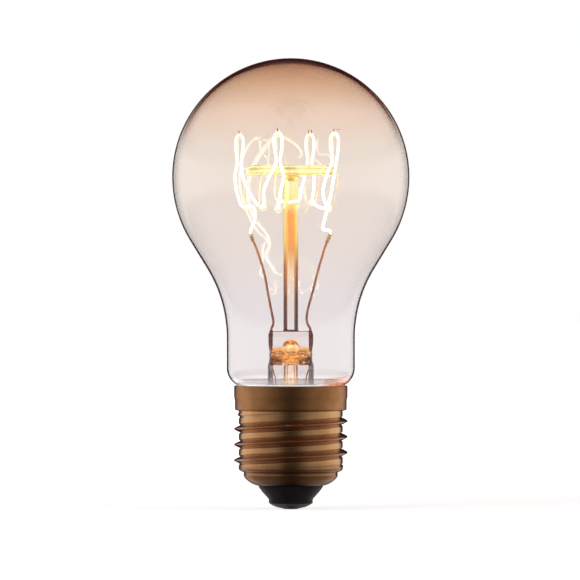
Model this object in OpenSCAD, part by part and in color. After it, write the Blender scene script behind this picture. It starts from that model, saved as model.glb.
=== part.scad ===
// Clear incandescent lamp with four filament loops and an E27 screw cap, in millimetres.
// The origin is the tip of the centre contact, and +Z runs up the lamp's axis to the crown.

/* [Glass bulb] */
// Height from the centre contact to the crown
lamp_h = 104.1; // [102:0.1:107]
// Widest diameter of the blown bulb
bulb_d = 54.8; // [54:0.1:56]
// Radius of the fuller curve just below the widest line
cheek_r = 28.2; // [28:0.1:29]
// Lean of the flank, from the vertical
flank_angle = 31.4; // [30:0.2:33]
// Radius of the hollow curve from the flank into the neck
waist_r = 30.6; // [28:0.2:33]
// Diameter of the straight neck
neck_d = 29.6; // [29.4:0.1:29.8]
// Radius that turns the neck in to the cap
shoulder_r = 4.6; // [4.4:0.1:4.8]
// Height at which the neck starts to turn in
shoulder_z = 32.6; // [32.4:0.1:32.8]
// Diameter of the glass collar inside the cap
collar_d = 23.8; // [23.4:0.1:24]
// Thickness of the blown glass
glass_wall = 0.7; // [0.5:0.1:0.9]

/* [Stem] */
// Diameter of the flare tube
flare_d = 10.8; // [10.6:0.1:11]
// Thickness of the flare tube
flare_wall = 1; // [0.8:0.1:1.1]
// Height of the top of the press
press_z = 41.1; // [40.8:0.1:41.4]
// Width of the press
press_w = 10.4; // [10.2:0.1:10.6]
// Thickness of the press
press_t = 3.4; // [3.2:0.1:3.8]
// Diameter of the exhaust tube
exhaust_d = 3.3; // [3:0.1:3.4]
// Bore of the exhaust tube
exhaust_bore_d = 1.9; // [1.5:0.1:2]
// Diameter of the support rod
rod_d = 3.4; // [3.2:0.1:3.6]
// Height of the underside of the disc on the rod
disc_z = 76.9; // [76.7:0.1:77]
// Diameter of the disc
disc_d = 20.8; // [20.4:0.1:20.9]
// Thickness of the disc
disc_t = 2.4; // [2.2:0.1:2.6]

/* [Wires] */
// Diameter of the wound filament strand
filament_d = 0.6; // [0.4:0.05:0.65]
// Diameter of the hook wires
hook_wire_d = 0.35; // [0.25:0.05:0.35]
// Diameter of the inner leads
lead_d = 0.56; // [0.4:0.02:0.56]
// Diameter of the seal wires in the press
seal_wire_d = 0.8; // [0.6:0.1:0.8]
// Distance between the seal wires
seal_spacing = 9; // [8.8:0.1:9]
// Diameter of the outer leads
outer_lead_d = 0.3; // [0.2:0.05:0.3]

/* [Screw cap] */
// Thread diameter over the crests
thread_major_d = 26.3; // [26.05:0.05:26.45]
// Thread diameter at the roots
thread_minor_d = 24.1; // [24:0.05:24.3]
// Height from the lip to the top edge of the shell
shell_h = 23.1; // [22.9:0.1:23.2]
// Diameter of the plain band above the thread
skirt_d = 25.8; // [25.7:0.1:25.9]
// Diameter of the top band
top_band_d = 26.2; // [26.1:0.1:26.4]
// Thickness of the rolled sheet
sheet_t = 0.35; // [0.3:0.05:0.4]
// Sides of the shell's outline, seen from above
shell_sides = 40; // [32:4:48]

/* [Hidden] */

$fn = 96;
eps = 0.01;
fit_gap = 0.02;

head_r = bulb_d / 2;
head_z = lamp_h - head_r;
neck_r = neck_d / 2;
collar_r = collar_d / 2;
cheek_axis_r = head_r - cheek_r;
shoulder_axis_r = neck_r - shoulder_r;
// Height at which the flank, drawn on, would meet the neck
flank_top = [
    cheek_axis_r + cheek_r * cos(flank_angle),
    head_z - cheek_r * sin(flank_angle)
];
flank_foot_z = flank_top.y - (flank_top.x - neck_r) / tan(flank_angle);
waist_z = round(1000 * (flank_foot_z - waist_r * tan(flank_angle / 2))) / 1000;

flare_r = flare_d / 2;
flare_bore_r = flare_r - flare_wall;
foot_z = 24.4;
rim_t = flare_wall;
rim_curve_r = 4.2;
rim_curve_at = [flare_r + rim_curve_r, foot_z + rim_curve_r];
// The tube is squeezed flat between these two heights
squeeze_z = 33.4;
squeeze_top_z = 36.2;
press_corner_r = 1.2;
press_edge_r = 0.8;
exhaust_top_z = 35;
exhaust_tip_z = 12.6;
dome_r = 2.2;
dome_at = [0, -0.7, 36.9];
seal_low_z = 33.2;
seal_groove_z = 31.9;
seal_top_z = press_z + 0.15;

// Thread and shell heights
thread_pitch = 25.4 / 7;
crest_z = 15.8;
shell_low_z = 5.4;
shell_top_z = shell_low_z + shell_h;
// The lip is part of an ellipse, from its edge up to level with the middle
lip_middle = [6.6, 8.3];
lip_radii = [4.25, 2.9];
lip_edge_angle = 76;
thread_low_z = 9.5;
thread_top_z = 22.35;
thread_rows = 10;
ridge_half = 0.27;
fade_turn = 0.2;

plate_r = 4.9;
plate_t = 0.35;
plate_dome_r = 10.1;
plate_dome_z = plate_dome_r + 0.15;
eyelet_r = 1.3;
insulator_hole_r = 1.6;
solder_flat_r = 1.4;

// Route of the filament strand, from the left clamp over four loops to the right clamp
filament_route = [
    [-9.08, 0, 62.95], [-9.22, 0, 63.37], [-9.36, 0, 63.8], [-9.1, 0, 64.8],
    [-8.6, -0.2, 66], [-8.3, -0.5, 67.6], [-8.4, -0.8, 69.2],
    [-9, -0.5, 70], [-9.9, 0.2, 69.9], [-10.75, 0.75, 69.95],
    [-11.45, 1.1, 70.2], [-12.2, 1.3, 72.2], [-12.7, 1.3, 74.4], [-12.9, 1.3, 77],
    [-12.4, 1.1, 80.3], [-12.7, 1.1, 83.5],
    [-12.6, 1.1, 85.6], [-11.85, 1.1, 86.4], [-11.1, 1.1, 85.6],
    [-11, 1, 83.5], [-11.4, 0.8, 80.3], [-11.2, 0.2, 77], [-9.9, -1.3, 73.8], [-8.2, -3.4, 70.9],
    [-7.2, -5, 70], [-6.4, -6.6, 69.7], [-6.1, -7.6, 70.5],
    [-6.2, -8.8, 73.4], [-4.9, -10.5, 76.6], [-3.4, -11.4, 80], [-3.8, -11.5, 83.5],
    [-3.7, -11.5, 85.8], [-2.9, -11.5, 86.6], [-2.1, -11.5, 85.8],
    [-2, -11.5, 83.5], [-2.4, -11.4, 80], [-1.7, -11.2, 76.6], [-2.3, -9.8, 73.4], [-2.8, -8.4, 70.2],
    [-2.9, -7, 69.3], [-2.9, -5.4, 69.7], [-3, -2.5, 70.6], [-2.6, 1, 71],
    [-1.2, 4.4, 71.1], [0.8, 7, 70.9],
    [2, 8.6, 71.6], [2.5, 9.6, 74], [3.2, 10.6, 76.8], [4, 11, 80], [3.6, 11, 83.6],
    [3.7, 11, 86], [4.5, 11, 86.9], [5.3, 11, 86],
    [5.4, 11, 83.6], [5, 11, 80], [5.4, 10.8, 76.8], [5.4, 10.5, 74], [5, 10, 71.9],
    [4.95, 8.9, 71.05], [5.4, 7.5, 70.5], [6.9, 4.6, 69.7], [8.3, 1.4, 69.4],
    [8.7, -1, 69.5], [7.9, -3.4, 70.6],
    [7.4, -5.2, 73.4], [8.2, -7.4, 76.9], [9.5, -6.6, 80.3], [9.1, -6.5, 83.5],
    [9.2, -6.5, 85.8], [10, -6.5, 86.6], [10.8, -6.5, 85.8],
    [10.9, -6.5, 83.5], [10.5, -6.8, 80.2], [9.9, -7.3, 76.9], [9.3, -7.2, 73.2], [8.6, -6.2, 70],
    [7.9, -4.2, 67.4], [7.4, -1.6, 65.3], [7.7, -0.5, 64.5], [8.4, -0.1, 64.5], [9.05, 0, 64.2],
    [9.17, 0, 63.66], [8.96, 0, 63.16], [8.76, 0, 62.69]
];
// Top of each loop, and the side on which its hook stands: 1 behind, -1 in front
loop_tops = [[-11.85, 1.1, 86.4], [-2.9, -11.5, 86.6], [4.5, 11, 86.9], [10, -6.5, 86.6]];
hook_sides = [1, 1, -1, 1];
upper_ring_r = 0.95;
lower_ring_r = 0.82;
ring_pitch = 0.6;
ring_turns = 1.2;
upper_socket_z = 78.5;
lower_socket_z = 77.5;
socket_r = 8.4;
socket_d = hook_wire_d + 0.05;
// Each lower hook: its bends below the disc, then the middle of its ring
lower_bends = [
    [[-10.9, 3.3, 76.8], [-10.8, 2.6, 74], [-10.9, 1.9, 71.6]],
    [[-6.7, -8.9, 76.8], [-7.1, -8.2, 75], [-7.3, -7.2, 72]],
    [[-3.4, -10.7, 76.8], [-3.6, -9.7, 75], [-3.8, -8.3, 72]],
    [[6.7, 8.9, 76.8], [6.7, 8.7, 75], [6.2, 8.6, 73]],
    [[11.1, 0.7, 76.6], [10.7, 0.2, 74], [10, -0.4, 71.5]]
];
lower_rings = [
    [-10.75, 0.75, 69.8], [-6.4, -6.7, 69.5], [-2.9, -7, 69.1], [4.95, 8.9, 71], [8.7, -1, 69.4]
];
// The way that the strand runs through each ring, as a compass angle from +X
lower_turns = [148, 270, 90, 90, 90];
// The fourth upper hook and the fourth lower hook end in a straight tail
upper_tail = [[11.3, -6.7, 87.4]];
lower_tail = [[4.1, 8.5, 69.9], [3.2, 8.5, 68.3]];

lead_left_route = [
    [-4.5, 0, 41.25], [-4.5, 0, 41.45], [-4.5, 0, 41.65], [-4.15, 0, 42.4], [-4, 0, 43.2],
    [-4.3, 0, 44.9], [-5.2, 0, 49.4], [-5.9, 0, 53.7], [-6.9, 0, 57.2], [-8.2, 0, 60.9],
    [-8.67, 0, 61.9], [-8.98, 0, 62.6]
];
lead_right_route = [
    [4.5, 0, 41.25], [4.5, 0, 41.45], [4.5, 0, 41.65], [4, 0, 42.5], [3.7, 0, 43.4],
    [3.7, 0, 44.8], [4.2, 0, 47.2], [5, 0, 50], [6.1, 0, 54.5], [7.05, 0, 57.8], [7.75, 0, 60.2],
    [8.21, 0, 61.4], [8.45, 0, 61.96], [8.66, 0, 62.46]
];
outer_shell_route = [
    [-4.5, 0, 33.2], [-4.5, 0, 32.95], [-4.5, 0, 32.7], [-4.2, 0, 32.1], [-3.8, 0, 31], [-3.5, 0.3, 29],
    [-3.4, 1.5, 25], [-2, 5, 22.3], [-0.5, 8.5, 21.9], [0, 11.3, 22.4], [0, 12.25, 23.3],
    [0, 12.35, 25], [0, 12.35, 27.4], [0, 12.41, 28.1], [0, 12.5, 28.5]
];
outer_contact_route = [
    [4.5, 0, 33.2], [4.5, 0, 32.95], [4.5, 0, 32.7], [4.2, 0, 32.1], [3.8, 0, 31], [3.5, 0.3, 29],
    [3.4, 0.8, 22], [2.8, 0.6, 14], [1.2, 0.2, 9], [0.3, 0, 5], [0, 0, 2.5], [0, 0, 1]
];
clamp_left = [-9.05, 0, 62.85];
clamp_left_lean = -18;
clamp_left_l = 1.5;
clamp_right = [8.72, 0, 62.6];
clamp_right_lean = 23;
clamp_right_l = 2;
clamp_bore_d = filament_d + 0.06;
clamp_d = clamp_bore_d + 0.34;

function unit(v) = v / norm(v);

// Middle stretch of a smooth curve through four points, at t from 0 to 1
function between(a, b, c, d, t) =
    0.5 * (2 * b + (c - a) * t + (2 * a - 5 * b + 4 * c - d) * t * t + (3 * b - a - 3 * c + d) * t * t * t);

function smooth_route(route, steps) = [
    for (i = [0 : len(route) - 2], k = [0 : steps - 1])
        between(
            route[max(i - 1, 0)], route[i], route[i + 1],
            route[min(i + 2, len(route) - 1)], k / steps
        ),
    route[len(route) - 1]
];

// One helical turn or more round a middle, starting at u and turning towards v, advancing along w
function ring_route(middle, r, u, v, w, turns, steps) = [
    for (k = [0 : round(turns * steps)])
        middle + r * cos(360 * k / steps) * u + r * sin(360 * k / steps) * v
            + ring_pitch * (k / steps - turns / 2) * w
];

function directions(route) = [
    for (i = [0 : len(route) - 1])
        unit(route[min(i + 1, len(route) - 1)] - route[max(i - 1, 0)])
];

// A cross direction at each point that turns as little as possible along the route
function cross_directions(along) = [
    for (
        i = 0, across = unit(cross(along[0], [0.31, 0.95, 0.05]));
        i < len(along);
        i = i + 1,
        across = i < len(along) ? unit(across - (across * along[i]) * along[i]) : across
    )
        across
];

// Round wire swept along a route as triangles
module wire(route, d, sides) {
    along = directions(route);
    across = cross_directions(along);
    last = len(route) - 1;
    rings = [
        for (i = [0 : last], k = [0 : sides - 1])
            route[i] + d / 2 * (cos(360 * k / sides) * across[i]
                + sin(360 * k / sides) * cross(along[i], across[i]))
    ];
    walls = [
        for (i = [0 : last - 1], k = [0 : sides - 1])
            let (a = i * sides + k, b = i * sides + (k + 1) % sides)
                each [[a, a + sides, b], [b, a + sides, b + sides]]
    ];
    ends = [
        for (k = [1 : sides - 2])
            each [[0, k, k + 1], [last * sides, last * sides + k + 1, last * sides + k]]
    ];
    polyhedron(points = rings, faces = concat(walls, ends), convexity = 6);
}

// Half outline of the bulb, drawn in by inset, from the foot to the crown
module bulb_outline(inset, foot) {
    cheek_end = [
        cheek_axis_r + (cheek_r - inset) * cos(flank_angle),
        head_z - (cheek_r - inset) * sin(flank_angle)
    ];
    waist_end = [
        neck_r + waist_r - (waist_r + inset) * cos(flank_angle),
        waist_z + (waist_r + inset) * sin(flank_angle)
    ];
    intersection() {
        translate([0, head_z]) circle(r = head_r - inset);
        translate([0, head_z]) square([head_r, head_r]);
    }
    intersection() {
        translate([cheek_axis_r, head_z]) circle(r = cheek_r - inset);
        translate([0, cheek_end.y]) square([head_r, head_z - cheek_end.y]);
    }
    difference() {
        polygon([[0, waist_z], [waist_end.x, waist_z], waist_end, cheek_end, [0, cheek_end.y]]);
        translate([neck_r + waist_r, waist_z]) circle(r = waist_r + inset);
    }
    translate([0, shoulder_z]) square([neck_r - inset, waist_z - shoulder_z]);
    intersection() {
        translate([shoulder_axis_r, shoulder_z]) circle(r = shoulder_r - inset);
        translate([0, foot]) square([neck_r, shoulder_z - foot]);
    }
    translate([0, foot]) square([shoulder_axis_r, shoulder_z - foot]);
    translate([0, foot]) square([collar_r - inset, shoulder_z - shoulder_r / 2 - foot]);
}

module glass_envelope() {
    color("linen", 0.35)
        rotate_extrude()
            difference() {
                bulb_outline(0, foot_z);
                bulb_outline(glass_wall, foot_z - 1);
            }
}

// Draws a side view, given as across and up, and carries it through the stem from left to right
module side_view() {
    rotate([90, 0, 90]) linear_extrude(2 * collar_r, center = true) children();
}

// Draws a front view and carries it through the stem from front to back
module front_view() {
    rotate([90, 0, 0]) linear_extrude(2 * collar_r, center = true) children();
}

module flare_outside() {
    difference() {
        translate([0, foot_z]) square([rim_curve_at.x, rim_curve_r]);
        translate(rim_curve_at) circle(r = rim_curve_r);
    }
    translate([0, foot_z - rim_t]) square([collar_r, rim_t]);
    translate([0, rim_curve_at.y]) square([flare_r, squeeze_z - rim_curve_at.y]);
}

module flare_inside() {
    difference() {
        translate([0, foot_z - 2 * rim_t]) square([rim_curve_at.x, rim_curve_r + 2 * rim_t]);
        translate(rim_curve_at) circle(r = rim_curve_r + rim_t);
    }
    translate([0, rim_curve_at.y]) square([flare_bore_r, squeeze_z - rim_curve_at.y]);
}

module press_side() {
    polygon([
        [-flare_r, squeeze_z], [flare_r, squeeze_z],
        [press_t / 2, squeeze_top_z], [press_t / 2, press_z - press_edge_r],
        [-press_t / 2, press_z - press_edge_r], [-press_t / 2, squeeze_top_z]
    ]);
    for (side = [-1, 1])
        translate([side * (press_t / 2 - press_edge_r), press_z - press_edge_r]) circle(r = press_edge_r);
    translate([press_edge_r - press_t / 2, press_z - press_edge_r])
        square([press_t - 2 * press_edge_r, press_edge_r]);
}

module press_front() {
    translate([-flare_r, squeeze_z]) square([flare_d, 1]);
    translate([-press_w / 2, squeeze_z]) square([press_w, press_z - press_corner_r - squeeze_z]);
    for (side = [-1, 1])
        translate([side * (press_w / 2 - press_corner_r), press_z - press_corner_r])
            circle(r = press_corner_r);
    translate([press_corner_r - press_w / 2, press_z - press_corner_r])
        square([press_w - 2 * press_corner_r, press_corner_r]);
}

// The hollow of the tube closes to a wedge under the press
module press_hollow() {
    intersection() {
        translate([0, 0, squeeze_z - eps]) cylinder(r = flare_bore_r, h = 3);
        side_view()
            polygon([
                [-flare_bore_r, squeeze_z - eps], [flare_bore_r, squeeze_z - eps],
                [0.9, 35], [0.4, 35.4], [-0.4, 35.4], [-0.9, 35]
            ]);
    }
}

module stem_flare() {
    color("wheat", 0.5)
        difference() {
            union() {
                rotate_extrude() flare_outside();
                intersection() {
                    translate([0, 0, squeeze_z]) cylinder(r = flare_r, h = press_z - squeeze_z);
                    side_view() press_side();
                    front_view() press_front();
                }
            }
            rotate_extrude() flare_inside();
            press_hollow();
            translate([0, 0, squeeze_z])
                cylinder(d = exhaust_d + 2 * fit_gap, h = exhaust_top_z - squeeze_z);
            translate(dome_at) sphere(r = dome_r);
            for (side = [-1, 1])
                translate([side * seal_spacing / 2, 0, seal_groove_z])
                    cylinder(d = seal_wire_d + 2 * fit_gap, h = press_z - seal_groove_z + 1);
        }
}

module exhaust_tube() {
    color("wheat", 0.5)
        difference() {
            union() {
                translate([0, 0, exhaust_tip_z + 2])
                    cylinder(d = exhaust_d, h = exhaust_top_z - exhaust_tip_z - 2);
                translate([0, 0, exhaust_tip_z]) cylinder(d1 = 0.8, d2 = exhaust_d, h = 2);
            }
            translate([0, 0, exhaust_tip_z + 3])
                cylinder(d = exhaust_bore_d, h = exhaust_top_z - exhaust_tip_z);
            translate([0, 0, exhaust_tip_z + 1.8]) cylinder(d1 = 0.4, d2 = exhaust_bore_d, h = 1.2 + eps);
        }
}

// A glass rod with a small fillet at the press and a wider one under the disc
module support_rod() {
    foot_fillet = 0.3;
    head_fillet = 1;
    rod_r = rod_d / 2;
    color("goldenrod", 0.6)
        rotate_extrude()
            difference() {
                translate([0, press_z]) square([rod_r + head_fillet, disc_z - press_z]);
                translate([rod_r + foot_fillet, press_z + foot_fillet]) circle(r = foot_fillet);
                translate([rod_r + head_fillet, disc_z - head_fillet]) circle(r = head_fillet);
                translate([rod_r, press_z + foot_fillet])
                    square([2, disc_z - head_fillet - press_z - foot_fillet]);
                translate([rod_r + foot_fillet, press_z - eps]) square([2, 1]);
            }
}

module rod_disc() {
    edge_r = disc_t / 2;
    color("khaki", 0.6)
        difference() {
            rotate_extrude() {
                translate([0, disc_z]) square([disc_d / 2 - edge_r, disc_t]);
                intersection() {
                    translate([disc_d / 2 - edge_r, disc_z + edge_r]) circle(r = edge_r);
                    translate([disc_d / 2 - edge_r, disc_z]) square([edge_r, disc_t]);
                }
            }
            for (n = [0 : 3])
                hook_socket(upper_base(n), upper_socket_z);
            for (n = [0 : 4])
                hook_socket(lower_bends[n][0], lower_socket_z);
        }
}

module hook_socket(toward, z) {
    rotate([0, 0, atan2(toward.y, toward.x)])
        translate([socket_r - fit_gap, 0, z]) rotate([0, 90, 0]) cylinder(d = socket_d, h = 4);
}

// Where an upper hook stands, beside the loop that it holds
function upper_base(n) = loop_tops[n] + [-ring_pitch * ring_turns / 2, hook_sides[n] * upper_ring_r, 0];

// A point out from the axis, level with the sockets
function out_to(toward, r, z) = [
    toward.x * r / norm([toward.x, toward.y]), toward.y * r / norm([toward.x, toward.y]), z
];

// The straight end of a hook, from the bottom of its socket to just outside the disc
function socket_route(toward, z) = [
    for (r = [socket_r, (socket_r + disc_d / 2) / 2, disc_d / 2, disc_d / 2 + 0.15]) out_to(toward, r, z)
];

module upper_hook(n) {
    base = upper_base(n);
    stem = concat(
        socket_route(base, upper_socket_z),
        [
            [base.x, base.y, upper_socket_z + 1.2], [base.x, base.y, base.z - 3],
            [base.x, base.y, base.z - 0.6]
        ]
    );
    turn = ring_route(
        loop_tops[n], upper_ring_r, [0, hook_sides[n], 0], [0, 0, 1], [1, 0, 0], ring_turns, 10
    );
    tail = n == 3 ? upper_tail : [];
    color("dimgray") wire(concat(smooth_route(stem, 2), turn, tail), hook_wire_d, 6);
}

module lower_hook(n) {
    stem = concat(socket_route(lower_bends[n][0], lower_socket_z), lower_bends[n]);
    through = [cos(lower_turns[n]), sin(lower_turns[n]), 0];
    turn = ring_route(
        lower_rings[n], lower_ring_r, cross(through, [0, 0, 1]), [0, 0, -1], through, ring_turns, 10
    );
    tail = n == 3 ? lower_tail : [];
    color("dimgray") wire(concat(smooth_route(stem, 2), turn, tail), hook_wire_d, 6);
}

module upper_hook_1() { upper_hook(0); }
module upper_hook_2() { upper_hook(1); }
module upper_hook_3() { upper_hook(2); }
module upper_hook_4() { upper_hook(3); }
module lower_hook_1() { lower_hook(0); }
module lower_hook_2() { lower_hook(1); }
module lower_hook_3() { lower_hook(2); }
module lower_hook_4() { lower_hook(3); }
module lower_hook_5() { lower_hook(4); }

module filament() {
    color("lightyellow") wire(smooth_route(filament_route, 2), filament_d, 8);
}

// A small sleeve crimped round a lead's end and a tail of the filament
module filament_clamp(middle, lean, l) {
    color("olive")
        translate(middle)
            rotate([0, lean, 0])
                difference() {
                    cylinder(d = clamp_d, h = l, center = true);
                    cylinder(d = clamp_bore_d, h = l + 1, center = true);
                }
}

module filament_clamp_left() {
    filament_clamp(clamp_left, clamp_left_lean, clamp_left_l);
}

module filament_clamp_right() {
    filament_clamp(clamp_right, clamp_right_lean, clamp_right_l);
}

module inner_lead_left() {
    color("sienna") wire(smooth_route(lead_left_route, 2), lead_d, 8);
}

module inner_lead_right() {
    color("sienna") wire(smooth_route(lead_right_route, 2), lead_d, 8);
}

module seal_wire(side) {
    color("brown")
        translate([side * seal_spacing / 2, 0, seal_low_z])
            cylinder(d = seal_wire_d, h = seal_top_z - seal_low_z);
}

module seal_wire_left() { seal_wire(-1); }
module seal_wire_right() { seal_wire(1); }

module outer_lead_shell() {
    color("peru") wire(smooth_route(outer_shell_route, 2), outer_lead_d, 8);
}

module outer_lead_contact() {
    color("peru") wire(smooth_route(outer_contact_route, 2), outer_lead_d, 8);
}

// Fills the space between the glass collar and the shell, with a groove for the side lead
module basing_cement() {
    cement_low_z = foot_z + 0.3;
    cement_top_z = 28.2;
    flat_share = cos(180 / shell_sides);
    skirt_inner_r = (skirt_d / 2 - sheet_t) * flat_share - fit_gap;
    band_inner_r = (top_band_d / 2 - sheet_t) * flat_share - fit_gap;
    color("tan")
        difference() {
            rotate_extrude()
                polygon([
                    [collar_r + fit_gap, cement_low_z], [skirt_inner_r, cement_low_z],
                    [skirt_inner_r, 25.1], [band_inner_r, 25.5],
                    [band_inner_r, cement_top_z], [collar_r + fit_gap, cement_top_z]
                ]);
            translate([0, 12.35, cement_low_z - 1]) cylinder(d = outer_lead_d + 0.3, h = 6);
        }
}

// How far the thread's ridge stands out at a height and a turn, both counted in turns
function ridge(turns_up, turn) =
    let (
        off = abs(turns_up - turn - round(turns_up - turn)),
        fade = min(
            (turns_up - (thread_low_z - crest_z) / thread_pitch) / fade_turn / 2,
            ((thread_top_z - crest_z) / thread_pitch - turns_up) / fade_turn / 2,
            1
        )
    )
    off < ridge_half ? max(fade, 0) * (1 + cos(180 * off / ridge_half)) / 2 : 0;

// Radius and height of the lip, from its edge up to the foot of the thread
function lip_point(radii, a) = lip_middle + [radii.x * cos(a), -radii.y * sin(a)];
lip_r = lip_middle.x + lip_radii.x;
lip_outline = [
    for (k = [5 : -1 : 0]) lip_point(lip_radii, lip_edge_angle * k / 5),
    for (t = [0.2 : 0.2 : 0.8])
        [
            lip_r + (thread_minor_d / 2 - lip_r) * (1 - cos(180 * t)) / 2,
            lip_middle.y + t * (thread_low_z - lip_middle.y)
        ]
];
skirt_outline = [
    [skirt_d / 2 - 0.5, thread_top_z + 0.2], [skirt_d / 2 - 0.1, thread_top_z + 0.5],
    [skirt_d / 2, thread_top_z + 0.9], [skirt_d / 2, 25.1],
    [top_band_d / 2, 25.5], [top_band_d / 2, shell_top_z]
];
helix_rows = ceil((thread_top_z - thread_low_z) / thread_pitch * thread_rows) + thread_rows;

// Height on the helical grid, which rises one pitch round the shell
function helix_z(row, column) =
    thread_low_z + thread_pitch * (row / thread_rows + column / shell_sides - 1);

// The number of the point at a row and column, where rows past either end join the end ring
function helix_point(row, column) =
    let (
        r = column < shell_sides ? row : row + thread_rows,
        c = column % shell_sides,
        z = helix_z(r, c)
    )
    z <= thread_low_z + eps ? c
    : (z >= thread_top_z - eps || r >= helix_rows) ? helix_rows * shell_sides + c
    : r * shell_sides + c;

// Points of the rolled sheet on its outer side, or its inner side when drawn in
function sheet_points(inset) = concat(
    [
        for (p = lip_outline, c = [0 : shell_sides - 1])
            round_point(p - inset * unit(p - lip_middle), c)
    ],
    [
        for (r = [0 : helix_rows], c = [0 : shell_sides - 1])
            let (
                z = r == 0 ? thread_low_z
                    : r == helix_rows ? thread_top_z
                    : min(max(helix_z(r, c), thread_low_z), thread_top_z),
                out = (thread_major_d - thread_minor_d) / 2
                    * ridge((z - crest_z) / thread_pitch, c / shell_sides + 0.25)
            )
            round_point([thread_minor_d / 2 + out - inset, z], c)
    ],
    [for (p = skirt_outline, c = [0 : shell_sides - 1]) round_point([p.x - inset, p.y], c)]
);

function round_point(p, column) =
    [p.x * cos(360 * column / shell_sides), p.x * sin(360 * column / shell_sides), p.y];

function is_real(face) = face[0] != face[1] && face[1] != face[2] && face[0] != face[2];

// Triangles of one side of the sheet, where mid starts the thread and top starts the skirt
function sheet_faces(start) =
    let (
        mid = start + len(lip_outline) * shell_sides,
        top = mid + (helix_rows + 1) * shell_sides,
        plain = [for (r = [0 : len(lip_outline) - 1]) start + r * shell_sides],
        skirt = [for (r = [-1 : len(skirt_outline) - 2]) top + r * shell_sides]
    )
    concat(
        [
            for (row = concat(plain, skirt), c = [0 : shell_sides - 1])
                let (d = (c + 1) % shell_sides)
                    each [
                        [row + c, row + shell_sides + c, row + d],
                        [row + d, row + shell_sides + c, row + shell_sides + d]
                    ]
        ],
        [
            for (r = [0 : helix_rows - 1], c = [0 : shell_sides - 1])
                let (
                    a = mid + helix_point(r, c),
                    b = mid + helix_point(r, c + 1),
                    e = mid + helix_point(r + 1, c),
                    f = mid + helix_point(r + 1, c + 1)
                )
                each [for (face = [[a, e, b], [b, e, f]]) if (is_real(face)) face]
        ]
    );

function turned(faces) = [for (face = faces) [face[0], face[2], face[1]]];

module screw_shell() {
    outer = sheet_points(0);
    inner = sheet_points(sheet_t);
    side = len(outer);
    top_row = side - shell_sides;
    edges = [
        for (c = [0 : shell_sides - 1])
            let (d = (c + 1) % shell_sides)
                each [
                    [c, d, side + c], [d, side + d, side + c],
                    [top_row + c, side + top_row + c, top_row + d],
                    [top_row + d, side + top_row + c, side + top_row + d]
                ]
    ];
    color("darkgoldenrod")
        polyhedron(
            points = concat(outer, inner),
            faces = concat(sheet_faces(0), turned(sheet_faces(side)), edges),
            convexity = 8
        );
}

// Black glass that fills the bottom of the shell and carries the centre contact
module cap_insulator() {
    tip_low_z = 1.35;
    tip_r = 5.1;
    neck_in_shell_r = 7.3;
    bead_radii = lip_radii - [sheet_t + 0.15, sheet_t + 0.15];
    color("black")
        rotate_extrude()
            difference() {
                polygon(concat(
                    [
                        [insulator_hole_r, 0.3], [plate_r + 0.05, 0.3], [plate_r + 0.05, tip_low_z],
                        [tip_r, tip_low_z], [tip_r + 0.1, 2.3], [6.65, 3.9], [7.6, 5.35],
                        [neck_in_shell_r, 5.45], [neck_in_shell_r, 5.95]
                    ],
                    [for (a = [70 : -10 : 0]) lip_point(bead_radii, a)],
                    [[9.8, 8.7], [7, 7.2], [3.5, 5.7], [insulator_hole_r, 5.4]]
                ));
                difference() {
                    translate([0, 0.2]) square([plate_r + 0.05, 1.7]);
                    translate([0, plate_dome_z]) circle(r = plate_dome_r - plate_t - fit_gap);
                }
            }
}

module contact_plate() {
    color("saddlebrown")
        rotate_extrude()
            intersection() {
                difference() {
                    translate([0, plate_dome_z]) circle(r = plate_dome_r);
                    translate([0, plate_dome_z]) circle(r = plate_dome_r - plate_t);
                }
                translate([eyelet_r, 0]) square([plate_r - eyelet_r, 3]);
            }
}

// Solder in the eyelet of the plate, with the flat tip that touches a socket's contact
module contact_solder() {
    spread_r = 2.6;
    color("gray")
        difference() {
            rotate_extrude() {
                difference() {
                    polygon([[0, 0], [solder_flat_r, 0], [2.2, 0.2], [spread_r, 0.48], [0, 0.48]]);
                    translate([0, plate_dome_z]) circle(r = plate_dome_r + fit_gap);
                }
                square([eyelet_r - fit_gap, 1.3]);
            }
            translate([0, 0, 0.99]) cylinder(d = outer_lead_d + 2 * fit_gap, h = 1);
        }
}

// Solder bead over the top edge of the shell at the back, where the side lead ends
module side_solder() {
    bead_r = 1.15;
    color("silver")
        difference() {
            translate([0, top_band_d / 2 + 0.15, shell_top_z - 0.4]) sphere(r = bead_r);
            translate([0, 0, 20]) cylinder(r = top_band_d / 2 + fit_gap, h = shell_top_z + fit_gap - 20);
            translate([0, 0, 28.4]) cylinder(r1 = 12.25, r2 = 13.7, h = 1);
            translate([0, 12.5, 28]) cylinder(d = outer_lead_d + 0.15, h = 0.6);
        }
}

glass_envelope();
stem_flare();
exhaust_tube();
support_rod();
rod_disc();
upper_hook_1();
upper_hook_2();
upper_hook_3();
upper_hook_4();
lower_hook_1();
lower_hook_2();
lower_hook_3();
lower_hook_4();
lower_hook_5();
filament();
filament_clamp_left();
filament_clamp_right();
inner_lead_left();
inner_lead_right();
seal_wire_left();
seal_wire_right();
outer_lead_shell();
outer_lead_contact();
basing_cement();
screw_shell();
cap_insulator();
contact_plate();
contact_solder();
side_solder();
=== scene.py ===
import math

import bmesh
import bpy
from mathutils import Matrix, Vector


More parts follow.
